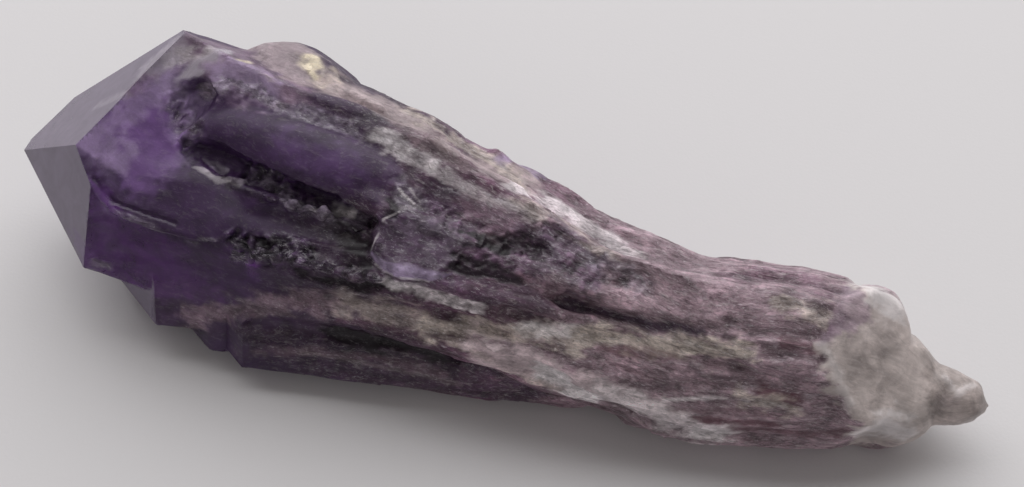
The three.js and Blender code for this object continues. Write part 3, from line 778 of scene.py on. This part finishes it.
@dataclass(frozen=True)
class Amethyst:
    """Amethyst: violet quartz, partly clear, grown and broken, never polished.

    Its flat faces are glassy, its fibres are silky, its broken places glitter with small tilted facets and
    painted glints, and light that goes through it comes out violet.
    """

    name: str = "amethyst_grown_and_broken"
    ior: float = 1.544
    shine: float = 0.22
    depth_colour: str = "#b48fd6"
    depth: float = 100.0
    dull: float = 0.62
    glossy: float = 0.10
    detail: float = 7.0
    cloud: float = 3.4 * MM
    cloud_rough: float = 0.62
    cloud_bend: float = 0.7
    patterns: tuple[Pattern, ...] = (
        Pattern("wisp", (3.4 * MM, 1.1 * MM, 1.1 * MM), 0.70, 0.8),
        Pattern("thread", (1.5 * MM, 0.55 * MM, 0.55 * MM), 0.72, 0.7),
        Pattern("crust", (1.7 * MM, 0.8 * MM, 0.8 * MM), 0.75, 0.4),
        Pattern("glint", (0.8 * MM, 0.30 * MM, 0.30 * MM), 0.72, 0.8),
    )
    hackle: Size = (1.3 * MM, 0.7 * MM, 0.7 * MM)
    mottles: tuple[Mottle, ...] = (
        Mottle("cloud", 0.34, 0.66, 0.45, 1.6, "patchy"),
        # Painted glints: the fibres are painted lighter and darker with the glint noise.
        Mottle("glint", 0.34, 0.66, 0.55, 1.5, "fibre"),
        # Painted light: each small facet of the frost is painted lighter or darker, as if it caught the light
        # differently.
        Mottle("hackle", 0.0, 1.0, 0.4, 1.7, "frost"),
    )
    layers: tuple[Layer, ...] = (
        Layer("dark fibres", "#3a222c", "wisp", 0.48, 0.36, 0.90, "fibre"),
        Layer("pale fibres", "#d0c6c8", "thread", 0.53, 0.66, 0.75, "fibre"),
        # Painted glints: bright specks on the fibres.
        Layer("painted glints on the fibres", "#f0eef4", "glint", 0.60, 0.68, 0.60, "fibre"),
        Layer("rime", "#d9d4dc", "crust", 0.52, 0.66, 0.65, "frost"),
        # Painted shade in the gaps between the frost's grains, and painted glints on it.
        Layer("painted shade in the gaps", "#1c151e", "glint", 0.44, 0.37, 0.75, "frost"),
        Layer("painted glints on the frost", "#f0eef4", "glint", 0.57, 0.67, 0.85, "frost"),
    )
    silk_depth: float = 0.35 * MM
    icing_depth: float = 0.16 * MM
    tilt: float = 0.8

    def material(self) -> bpy.types.Material:
        """Makes the material. It reads the skin's attributes.

        Returns:
            The material.
        """
        quartz = bpy.data.materials.new(self.name)
        quartz.use_nodes = True
        tree = quartz.node_tree
        surface = tree.nodes["Principled BSDF"]
        traits = {name: add_node(tree, "ShaderNodeAttribute", attribute_name=name).outputs["Fac"]
                  for name in TRAITS}
        grain = add_node(tree, "ShaderNodeAttribute", attribute_name="grain").outputs["Vector"]
        counted = add_node(tree, "ShaderNodeVectorMath", {0: grain, 1: self.hackle}, operation="DIVIDE")
        hackles = add_node(tree, "ShaderNodeTexVoronoi", {"Vector": counted.outputs["Vector"], "Scale": 1.0})
        chances = hackles.outputs["Color"]
        noises = self.noises(tree, grain)
        noises["hackle"] = add_node(tree, "ShaderNodeSeparateColor", {0: chances}).outputs[0]

        tree.links.new(self.colour(tree, traits, noises), surface.inputs["Base Color"])
        sheen = add_node(tree, "ShaderNodeMapRange", {
            0: traits["gloss"], 1: 0.0, 2: 1.0, 3: self.dull, 4: self.glossy})
        tree.links.new(sheen.outputs[0], surface.inputs["Roughness"])
        tree.links.new(traits["clear"], surface.inputs["Transmission Weight"])
        surface.inputs["IOR"].default_value = self.ior
        surface.inputs["Specular IOR Level"].default_value = self.shine
        tree.links.new(self.facing(tree, traits, noises, chances), surface.inputs["Normal"])
        depth = add_node(tree, "ShaderNodeVolumeAbsorption", {
            "Color": linear(self.depth_colour), "Density": self.depth})
        tree.links.new(depth.outputs["Volume"], tree.nodes["Material Output"].inputs["Volume"])
        return quartz

    def noises(self, tree: bpy.types.NodeTree, grain: bpy.types.NodeSocket) -> Sockets:
        """Adds the noises that the colour and the fine relief read.

        Args:
            tree: The material's nodes.
            grain: The place in the fibres' own frame.

        Returns:
            Each noise by name.
        """
        where = add_node(tree, "ShaderNodeTexCoord").outputs["Object"]
        noises = {"cloud": add_node(tree, "ShaderNodeTexNoise", {
            "Vector": where, "Scale": 1 / self.cloud, "Detail": self.detail,
            "Roughness": self.cloud_rough, "Distortion": self.cloud_bend}).outputs["Fac"]}
        for pattern in self.patterns:
            counted = add_node(tree, "ShaderNodeVectorMath", {0: grain, 1: pattern.size}, operation="DIVIDE")
            noises[pattern.name] = add_node(tree, "ShaderNodeTexNoise", {
                "Vector": counted.outputs["Vector"], "Scale": 1.0, "Detail": self.detail,
                "Roughness": pattern.rough, "Distortion": pattern.bend}).outputs["Fac"]
        return noises

    def colour(self, tree: bpy.types.NodeTree, traits: Sockets, noises: Sockets) -> bpy.types.NodeSocket:
        """Mottles the painted tint, with painted light on the glints and facets, and lays the fibres, the
        rime, the painted glints and the painted shade in the gaps over it.

        Args:
            tree: The material's nodes.
            traits: The paints' traits at each place, by name.
            noises: The noises, by name.

        Returns:
            The colour.
        """
        # A Mix node's factor is its input 0, its colours are inputs 6 and 7, and its output 2 is a colour.
        colour = add_node(tree, "ShaderNodeAttribute", attribute_name="tint").outputs["Vector"]
        for mottle in self.mottles:
            shade = add_node(tree, "ShaderNodeMapRange", {
                0: noises[mottle.pattern], 1: mottle.low, 2: mottle.high, 3: mottle.dark, 4: mottle.light})
            colour = add_node(tree, "ShaderNodeMix", {
                0: traits[mottle.trait], 6: colour, 7: shade.outputs[0]},
                data_type="RGBA", blend_type="MULTIPLY").outputs[2]
        for layer in self.layers:
            ranged = add_node(tree, "ShaderNodeMapRange", {
                0: noises[layer.pattern], 1: layer.start, 2: layer.full, 3: 0.0, 4: layer.share})
            held = add_node(tree, "ShaderNodeMath", {0: ranged.outputs[0], 1: traits[layer.trait]},
                            operation="MULTIPLY")
            colour = add_node(tree, "ShaderNodeMix", {0: held.outputs[0], 6: colour, 7: linear(layer.colour)},
                              data_type="RGBA", label=layer.name).outputs[2]
        return colour

    def facing(self, tree: bpy.types.NodeTree, traits: Sockets, noises: Sockets,
               chances: bpy.types.NodeSocket) -> bpy.types.NodeSocket:
        """Roughens where the surface looks: silk on the fibres, icing and tilted facets on the frost.

        Args:
            tree: The material's nodes.
            traits: The paints' traits at each place, by name.
            noises: The noises, by name.
            chances: Three chances for each small facet of the broken places.

        Returns:
            The direction that the surface looks in.
        """
        silk = add_node(tree, "ShaderNodeBump", {
            "Height": noises["thread"], "Distance": self.silk_depth, "Strength": traits["fibre"]})
        icing = add_node(tree, "ShaderNodeBump", {
            "Height": noises["crust"], "Distance": self.icing_depth, "Strength": traits["frost"],
            "Normal": silk.outputs["Normal"]})
        # Chances from 0 to 1 become leans from -0.5 to 0.5.
        aside = add_node(tree, "ShaderNodeVectorMath", {0: chances, 1: (-0.5, -0.5, -0.5)}, operation="ADD")
        strength = add_node(tree, "ShaderNodeMath", {0: traits["frost"], 1: self.tilt}, operation="MULTIPLY")
        scaled = add_node(tree, "ShaderNodeVectorMath", {
            0: aside.outputs["Vector"], "Scale": strength.outputs[0]}, operation="SCALE")
        leaning = add_node(tree, "ShaderNodeVectorMath", {
            0: icing.outputs["Normal"], 1: scaled.outputs["Vector"]}, operation="ADD")
        return add_node(tree, "ShaderNodeVectorMath", {0: leaning.outputs["Vector"]},
                        operation="NORMALIZE").outputs["Vector"]


@dataclass(frozen=True)
class FlatFace:
    """One flat face of a crystal's point: where it looks, a corner on it and its triangles."""

    normal: Vector
    corner: Vector
    tree: BVHTree

    def apart(self, place: Vector, reach: float) -> float:
        """Tells how far a place is from the face.

        Args:
            place: The place.
            reach: The distance past which nothing is looked for, in metres.

        Returns:
            The distance, or the reach where it is longer than that.
        """
        distance = self.tree.find_nearest(place, reach)[3]
        return reach if distance is None else distance


def from_segment(start: np.ndarray, end: np.ndarray, points: np.ndarray) -> np.ndarray:
    """Measures how far points are from a straight segment.

    Args:
        start: Its start.
        end: Its end.
        points: The points.

    Returns:
        A distance for each point.
    """
    way = end - start
    share = np.clip((points - start) @ way / (way @ way), 0.0, 1.0)
    return np.linalg.norm(points - start - share[:, None] * way, axis=1)


@dataclass(frozen=True)
class Tracing:
    """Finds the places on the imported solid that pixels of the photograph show."""

    solid: BVHTree
    camera: PhotoCamera = PhotoCamera()
    pull_steps: int = 40
    level_least: float = 1e-12

    def hits(self, pixels: tuple[Pixel, ...]) -> np.ndarray:
        """Finds where pixels meet the solid. One beside it is pulled in to the middle of them all.

        Args:
            pixels: The pixels.

        Returns:
            A place for each pixel.
        """
        middle = Vector(np.mean(pixels, axis=0))
        found = []
        for pixel in pixels:
            for step in range(self.pull_steps):
                nearer = Vector(pixel).lerp(middle, step / self.pull_steps)
                hit = self.solid.ray_cast(self.camera.place(), self.camera.ray(tuple(nearer)))[0]
                if hit is not None:
                    found.append(hit)
                    break
        return np.array(found)

    def along(self, pixels: tuple[Pixel, ...], size: float, points: np.ndarray) -> np.ndarray:
        """Tells how far points are from the line through pixels.

        Args:
            pixels: The line's corners.
            size: Its half width, in mm.
            points: The points.

        Returns:
            The distance in parts of the half width. It is below 1 where the line is.
        """
        corners = self.hits(pixels)
        best = np.full(len(points), np.inf)
        for start, end in zip(corners[:-1], corners[1:]):
            best = np.minimum(best, from_segment(start, end, points))
        return best / (size * MM)

    def within(self, pixels: tuple[Pixel, ...], edge: float, depth: float, points: np.ndarray) -> np.ndarray:
        """Tells how far points are inside the flat outline through pixels.

        Args:
            pixels: The outline's corners.
            edge: The width of its soft edge, in mm.
            depth: How far above and below it a point still counts, in mm.
            points: The points.

        Returns:
            The distance to the outline in parts of the edge, from 0.5 on it down to less inside.
        """
        corners = self.hits(pixels)
        middle = corners.mean(0)
        turned = np.cross(corners - middle, np.roll(corners, -1, 0) - middle).sum(0)
        normal = turned / np.linalg.norm(turned)
        across = np.cross(normal, (1.0, 0.0, 0.0))
        across /= np.linalg.norm(across)
        base = np.array((np.cross(across, normal), across))
        flat, corners = (points - middle) @ base.T, (corners - middle) @ base.T
        inside = np.zeros(len(points), bool)
        best = np.full(len(points), np.inf)
        for start, end in zip(corners, np.roll(corners, -1, 0)):
            best = np.minimum(best, from_segment(start, end, flat))
            # A point is inside where a line from it crosses the outline an odd number of times.
            run, rise = end - start
            spans = (start[1] > flat[:, 1]) != (end[1] > flat[:, 1])
            slope = run / (rise if abs(rise) > self.level_least else self.level_least)
            inside ^= spans & (flat[:, 0] < start[0] + (flat[:, 1] - start[1]) * slope)
        away = np.where(inside, -best, best) / (edge * MM) + 0.5
        return np.where(np.abs((points - middle) @ normal) > depth * MM, np.inf, away)


@dataclass
class Coating:
    """The looks of the skin's points, on which coats and marks are laid one over another.

    The coats' borders slant and sway. The marks' borders are ragged, are drawn out along the fibres and
    bend with them. A border says where a mark's share is still 0 and where it is 1, in parts of its size.
    Lengths are in metres, but for the most bend, which is in parts of the bend.
    """

    points: np.ndarray
    grain: np.ndarray
    tracing: Tracing
    slant: float = 0.25
    slant_level: float = 10 * MM
    sway: float = 1.5 * MM
    sway_length: float = 6 * MM
    rag_lengths: tuple[float, float] = (1.6 * MM, 0.8 * MM)
    rag_shares: tuple[float, float] = (0.5, 0.3)
    streak_size: Size = (5 * MM, 0.9 * MM, 0.9 * MM)
    bend: float = 0.8 * MM
    bend_size: Size = (3.6 * MM, 1.3 * MM, 1.3 * MM)
    small_bend_share: float = 0.5
    small_bend_length: float = 0.8 * MM
    most_bend: float = 2.0
    ragged: float = 0.4
    streaked: float = 0.5
    border: tuple[float, float] = (1.25, 0.45)
    lift_border: tuple[float, float] = (1.0, 0.3)
    looks: np.ndarray = field(init=False)
    lift: np.ndarray = field(init=False)
    rag: np.ndarray = field(init=False)
    streaks: np.ndarray = field(init=False)
    bent: np.ndarray = field(init=False)

    def __post_init__(self) -> None:
        """Lays the coats and works out how the marks' borders wander."""
        stops = np.array([x * MM for x, _ in COATS])
        rows = np.array([look.value.row() for _, look in COATS])
        along = (self.points[:, 0] + self.slant * (self.points[:, 2] - self.slant_level)
                 + self.sway * waves(self.points, self.sway_length))
        self.looks = np.stack([np.interp(along, stops, column) for column in rows.T], axis=1)
        self.lift = np.zeros(len(self.points))
        self.rag = (self.rag_shares[0] * waves(self.points, self.rag_lengths[0])
                    + self.rag_shares[1] * waves(self.points + 1, self.rag_lengths[1]))
        self.streaks = waves(self.grain, self.streak_size)
        aside = [waves(self.grain + turn, self.bend_size)
                 + self.small_bend_share * waves(self.grain - turn, self.small_bend_length)
                 for turn in (1, 2, 3)]
        self.bent = self.bend * np.stack(aside, axis=1)

    def cover(self, look: Look, share: np.ndarray) -> None:
        """Lays a look over what is below.

        Args:
            look: The look.
            share: How much of each point it covers.
        """
        self.looks += share[:, None] * (look.value.row() - self.looks)

    def lay(self, mark: Mark) -> None:
        """Lays a mark over what is below, and raises or sinks the skin under it.

        Args:
            mark: The mark.
        """
        LOG.debug("mark: %s", mark.name)
        spread = self.points + min(mark.size ** 2, self.most_bend) * self.bent
        if mark.shape is Shape.LINE:
            away = self.tracing.along(mark.pixels, mark.size, spread)
        else:
            away = self.tracing.within(mark.pixels, mark.size, mark.depth, spread)
        away += self.ragged * self.rag + self.streaked * mark.look.value.fibre * self.streaks
        self.cover(mark.look, mark.strength * smooth_step(away, *self.border))
        self.lift += mark.lift * MM * smooth_step(away, *self.lift_border)


@dataclass(frozen=True)
class Relief:
    """The skin's fine relief: ribs, splinters, crust, lumps and shards.

    Lengths are in metres. A border says where a share is still 0 and where it is 1.
    """

    rib_size: Size = (18 * MM, 2.6 * MM, 2.6 * MM)
    rib_height: float = 0.45 * MM
    rib_crest: float = 0.5
    rib_drop: float = 2.0
    splinters: Facets = Facets((8 * MM, 1.9 * MM, 1.9 * MM), 0.5, (4 * MM, 0.95 * MM, 0.95 * MM), 1.1)
    splinter_height: float = 0.55 * MM
    icing: Facets = Facets(2.6 * MM, 0.8, 1.2 * MM, 0.3)
    icing_height: float = 0.30 * MM
    lumps: Facets = Facets(5.0 * MM, 0.6, 1.8 * MM, 1.3)
    lump_height: float = 0.28 * MM
    lump_border: tuple[float, float] = (46 * MM, 54 * MM)
    shards: Facets = Facets(1.2 * MM, 0.4, 0.6 * MM, 1.2, fine_share=0.6)
    shard_border: tuple[float, float] = (1.0, 0.5)
    shard_shade: float = 0.9
    furrow_depth: float = 0.45 * MM
    furrow_shade: float = 0.5
    ridge_frost: float = 0.15

    def raised(self, coating: Coating) -> np.ndarray:
        """Works out the relief, paints shade into its hollows and light onto its ridges, and frosts its
        ridges.

        Args:
            coating: The looks, which are changed.

        Returns:
            How far each point is raised, in metres.
        """
        points, grain, looks = coating.points, coating.grain, coating.looks
        frost, fibre = looks[:, FROST_COLUMN], looks[:, FIBRE_COLUMN]
        # A rib is sharp where the soft waves change sign, and broad furrows lie between the ribs.
        ribs = self.rib_crest - self.rib_drop * np.abs(waves(grain, self.rib_size))
        relief = coating.lift + fibre * self.rib_height * ribs
        relief += fibre * self.splinter_height * self.splinters.heights(grain)
        relief += frost * self.icing_height * self.icing.heights(points)
        relief += self.lump_height * self.lumps.heights(points) * smooth_step(points[:, 0], *self.lump_border)
        broken = self.broken(coating)
        relief += broken * MM
        # Painted light and shade on the shards: higher ones lighter, lower ones darker.
        looks[:, :3] *= np.exp(self.shard_shade * broken)[:, None]
        # Painted shade in the furrows and painted light on the ribs: the colour darkens where the skin lies
        # below its marked level and lightens above it.
        proud = np.clip((relief - coating.lift) / self.furrow_depth, -1.0, 1.0)
        looks[:, :3] *= np.exp(self.furrow_shade * proud)[:, None]
        looks[:, FROST_COLUMN] += self.ridge_frost * fibre * np.maximum(proud, 0.0)
        return relief

    def broken(self, coating: Coating) -> np.ndarray:
        """Gives the heights of the shards along the fine lines.

        Args:
            coating: The looks, whose points are read.

        Returns:
            A height for each point, in mm.
        """
        points = coating.points
        heights = []
        for fine in FINE:
            away = coating.tracing.along(fine.pixels, fine.reach, points)
            heights.append(fine.shards * smooth_step(away, *self.shard_border))
        return np.max(heights, axis=0) * self.shards.heights(points)


@dataclass(frozen=True)
class Crystal:
    """The whole crystal as one fine skin.

    Lengths are in metres. A border says where a share is still 0 and where it is 1: the face and calm
    borders count from a flat face, in calm edges, and the point border is along X.
    """

    voxel: float = 0.50 * MM
    merge: float = 0.001 * MM
    head_end: float = -3 * MM
    foot_start: float = 58 * MM
    soften_rounds: int = 2
    soften_share: float = 0.5
    flat_face_lean: float = -0.5
    flat_face_least: float = 8e-6
    face_reach: float = 0.8 * MM
    face_push: float = 0.25 * MM
    face_cut: float = 0.0001 * MM
    face_border: tuple[float, float] = (0.10, 0.02)
    point_border: tuple[float, float] = (-40 * MM, -50 * MM)
    calm_edge: float = 1.2 * MM
    calm_border: tuple[float, float] = (0.1, 1.0)
    slice_width: float = 4 * MM
    grain_radius: float = 17 * MM
    least_radius: float = 3 * MM
    grain_sway: float = 0.8 * MM
    grain_sway_length: float = 14 * MM
    sharp_angle: float = 27.0

    def solid(self) -> bpy.types.Mesh:
        """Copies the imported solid's mesh and merges its loose triangles.

        Returns:
            The copy.
        """
        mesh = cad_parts[NODE].data.copy()
        solid = bmesh.new()
        solid.from_mesh(mesh)
        bmesh.ops.remove_doubles(solid, verts=solid.verts, dist=self.merge)
        solid.to_mesh(mesh)
        solid.free()
        return mesh

    def flat_faces(self, mesh: bpy.types.Mesh) -> list[FlatFace]:
        """Finds the flat faces of the points, which look towards -X.

        Args:
            mesh: The solid.

        Returns:
            The faces of the point and of the smaller crystals' points.
        """
        found: dict[tuple, list[bpy.types.MeshPolygon]] = {}
        for polygon in mesh.polygons:
            if polygon.normal.x < self.flat_face_lean:
                offset = polygon.normal.dot(mesh.vertices[polygon.vertices[0]].co)
                key = (*(round(n, 2) for n in polygon.normal), round(offset / MM, 1))
                found.setdefault(key, []).append(polygon)
        corners = [v.co for v in mesh.vertices]
        return [
            FlatFace(same[0].normal.copy(), corners[same[0].vertices[0]].copy(),
                     BVHTree.FromPolygons(corners, [tuple(p.vertices) for p in same]))
            for same in found.values() if sum(p.area for p in same) > self.flat_face_least
        ]

    def remesh(self, mesh: bpy.types.Mesh) -> bmesh.types.BMesh:
        """Lays an even, fine skin over the solid and softens its modelled facets.

        Args:
            mesh: The solid.

        Returns:
            The skin.
        """
        carrier = bpy.data.objects.new("carrier", mesh)
        bpy.context.scene.collection.objects.link(carrier)
        modifier = carrier.modifiers.new("skin", "REMESH")
        modifier.mode = "VOXEL"
        modifier.voxel_size = self.voxel
        evaluated = carrier.evaluated_get(bpy.context.evaluated_depsgraph_get())
        fine = bpy.data.meshes.new_from_object(evaluated)
        skin = bmesh.new()
        skin.from_mesh(fine)
        bpy.data.objects.remove(carrier)
        bpy.data.meshes.remove(fine)
        body = [v for v in skin.verts if self.head_end < v.co.x < self.foot_start]
        self.soften(skin, list(skin.verts), 1)
        self.soften(skin, body, self.soften_rounds)
        return skin

    def soften(self, skin: bmesh.types.BMesh, verts: list[bmesh.types.BMVert], rounds: int) -> None:
        """Moves points of the skin towards the middle of their neighbours.

        Args:
            skin: The skin, which is changed.
            verts: The points.
            rounds: How many times they are moved.
        """
        for _ in range(rounds):
            bmesh.ops.smooth_vert(skin, verts=verts, factor=self.soften_share,
                                  use_axis_x=True, use_axis_y=True, use_axis_z=True)

    def wear(self, skin: bmesh.types.BMesh, tracing: Tracing) -> None:
        """Smooths the worn places.

        Args:
            skin: The skin, which is changed.
            tracing: What finds their places.
        """
        points = np.array([v.co for v in skin.verts])
        for worn in WORN:
            LOG.debug("worn place: %s", worn.name)
            away = tracing.along(worn.pixels, worn.reach, points)
            self.soften(skin, [v for v, apart in zip(skin.verts, away) if apart < 1], worn.rounds)

    def refine(self, skin: bmesh.types.BMesh, tracing: Tracing) -> None:
        """Halves the skin's faces along the fine lines.

        Args:
            skin: The skin, which is changed.
            tracing: What finds their places.
        """
        middles = np.array([f.calc_center_median() for f in skin.faces])
        near = np.zeros(len(middles), bool)
        for fine in FINE:
            LOG.debug("fine line: %s", fine.name)
            near |= tracing.along(fine.pixels, fine.reach, middles) < 1
        edges = {e for face, inside in zip(skin.faces, near) if inside for e in face.edges}
        bmesh.ops.subdivide_edges(skin, edges=list(edges), cuts=1, use_grid_fill=True)

    def sharpen(self, skin: bmesh.types.BMesh, faces: list[FlatFace]) -> None:
        """Cuts the flat faces of the points sharp again: they are pushed out, cut and pressed flat.

        Args:
            skin: The skin, which is changed.
            faces: The flat faces.
        """
        for face in faces:
            for vert in skin.verts:
                apart = face.apart(vert.co, self.face_reach)
                if apart < self.face_reach:
                    vert.co += face.normal * self.face_push * (1 - apart / self.face_reach)
        for face in faces:
            near = [v for v in skin.verts if face.apart(v.co, self.face_reach) < self.face_reach]
            around = list({f for v in near for f in v.link_faces})
            edges = list({e for f in around for e in f.edges})
            verts = list({v for f in around for v in f.verts})
            bmesh.ops.bisect_plane(skin, geom=around + edges + verts, dist=self.face_cut,
                                   plane_co=face.corner, plane_no=face.normal)
            for vert in near:
                height = face.normal.dot(vert.co - face.corner)
                if 0 < height < 2 * self.face_push:
                    vert.co -= face.normal * height

    def grain(self, points: np.ndarray) -> np.ndarray:
        """Gives places in the fibres' own frame, where the taper is taken out so that they run with it.

        Args:
            points: The skin's points.

        Returns:
            A place in metres for each.
        """
        slices = np.arange(points[:, 0].min(), points[:, 0].max() + self.slice_width, self.slice_width)
        spread = []
        for x in slices:
            near = points[np.abs(points[:, 0] - x) < self.slice_width]
            spread.append((*near[:, 1:].min(0), *near[:, 1:].max(0)))
        low_y, low_z, high_y, high_z = (np.interp(points[:, 0], slices, column)
                                        for column in np.array(spread).T)
        place = points.copy()
        for axis, low, high in ((1, low_y, high_y), (2, low_z, high_z)):
            radius = np.maximum((high - low) / 2, self.least_radius)
            place[:, axis] = (points[:, axis] - (low + high) / 2) / radius * self.grain_radius
            place[:, axis] += self.grain_sway * waves(points + axis, self.grain_sway_length)
        return place

    def dress(self, mesh: bpy.types.Mesh, calm: np.ndarray, tracing: Tracing) -> None:
        """Paints the skin, gives it its relief and stores its looks as attributes.

        Args:
            mesh: The skin, which is changed.
            calm: How far its points are from a flat face, from 0 on it to 1.
            tracing: What finds the marks' places.
        """
        points = np.empty(3 * len(mesh.vertices))
        outward = np.empty(3 * len(mesh.vertices), np.float32)
        mesh.vertices.foreach_get("co", points)
        mesh.vertex_normals.foreach_get("vector", outward)
        points, outward = points.reshape(-1, 3), outward.reshape(-1, 3)

        coating = Coating(points, self.grain(points), tracing)
        for mark in MARKS:
            coating.lay(mark)
        on_point = smooth_step(calm, *self.face_border) * smooth_step(points[:, 0], *self.point_border)
        coating.cover(Look.POINT_FACE, on_point)
        for mark in POINT_MARKS:
            coating.lay(mark)

        raised = Relief().raised(coating) * smooth_step(calm, *self.calm_border)
        points = np.clip(points + outward * raised[:, None], CAD_BOX[0], CAD_BOX[1])
        mesh.vertices.foreach_set("co", points.ravel())
        for name, values in (("grain", coating.grain), ("tint", coating.looks[:, :3])):
            mesh.attributes.new(name, "FLOAT_VECTOR", "POINT").data.foreach_set("vector", values.ravel())
        for name, values in zip(TRAITS, coating.looks[:, 3:].T):
            column = np.ascontiguousarray(values)
            mesh.attributes.new(name, "FLOAT", "POINT").data.foreach_set("value", column)

    def build(self) -> bpy.types.Object:
        """Makes the crystal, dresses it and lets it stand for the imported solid.

        Returns:
            The crystal's object.
        """
        solid = self.solid()
        faces = self.flat_faces(solid)
        tracing = Tracing(BVHTree.FromPolygons([v.co for v in solid.vertices],
                                               [tuple(p.vertices) for p in solid.polygons]))
        skin = self.remesh(solid)
        self.wear(skin, tracing)
        self.refine(skin, tracing)
        self.sharpen(skin, faces)
        skin.normal_update()
        mesh = bpy.data.meshes.new("amethyst_crystal")
        skin.to_mesh(mesh)
        apart = [min(face.apart(v.co, self.calm_edge) for face in faces) for v in skin.verts]
        skin.free()
        self.dress(mesh, np.array(apart) / self.calm_edge, tracing)

        mesh.shade_smooth()
        mesh.set_sharp_from_angle(angle=math.radians(self.sharp_angle))
        mesh.materials.append(Amethyst().material())
        crystal = bpy.data.objects.new("amethyst_crystal", mesh)
        bpy.context.scene.collection.objects.link(crystal)
        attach(crystal, "root")
        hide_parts(NODE)
        LOG.info("amethyst_crystal: %d points, %d flat faces", len(mesh.vertices), len(faces))
        return crystal


def main() -> None:
    """Builds the camera, the studio and the crystal."""
    logging.basicConfig(level=logging.INFO, format="%(message)s")
    PhotoCamera().build()
    Studio().build()
    Crystal().build()


if __name__ == "__main__":
    main()
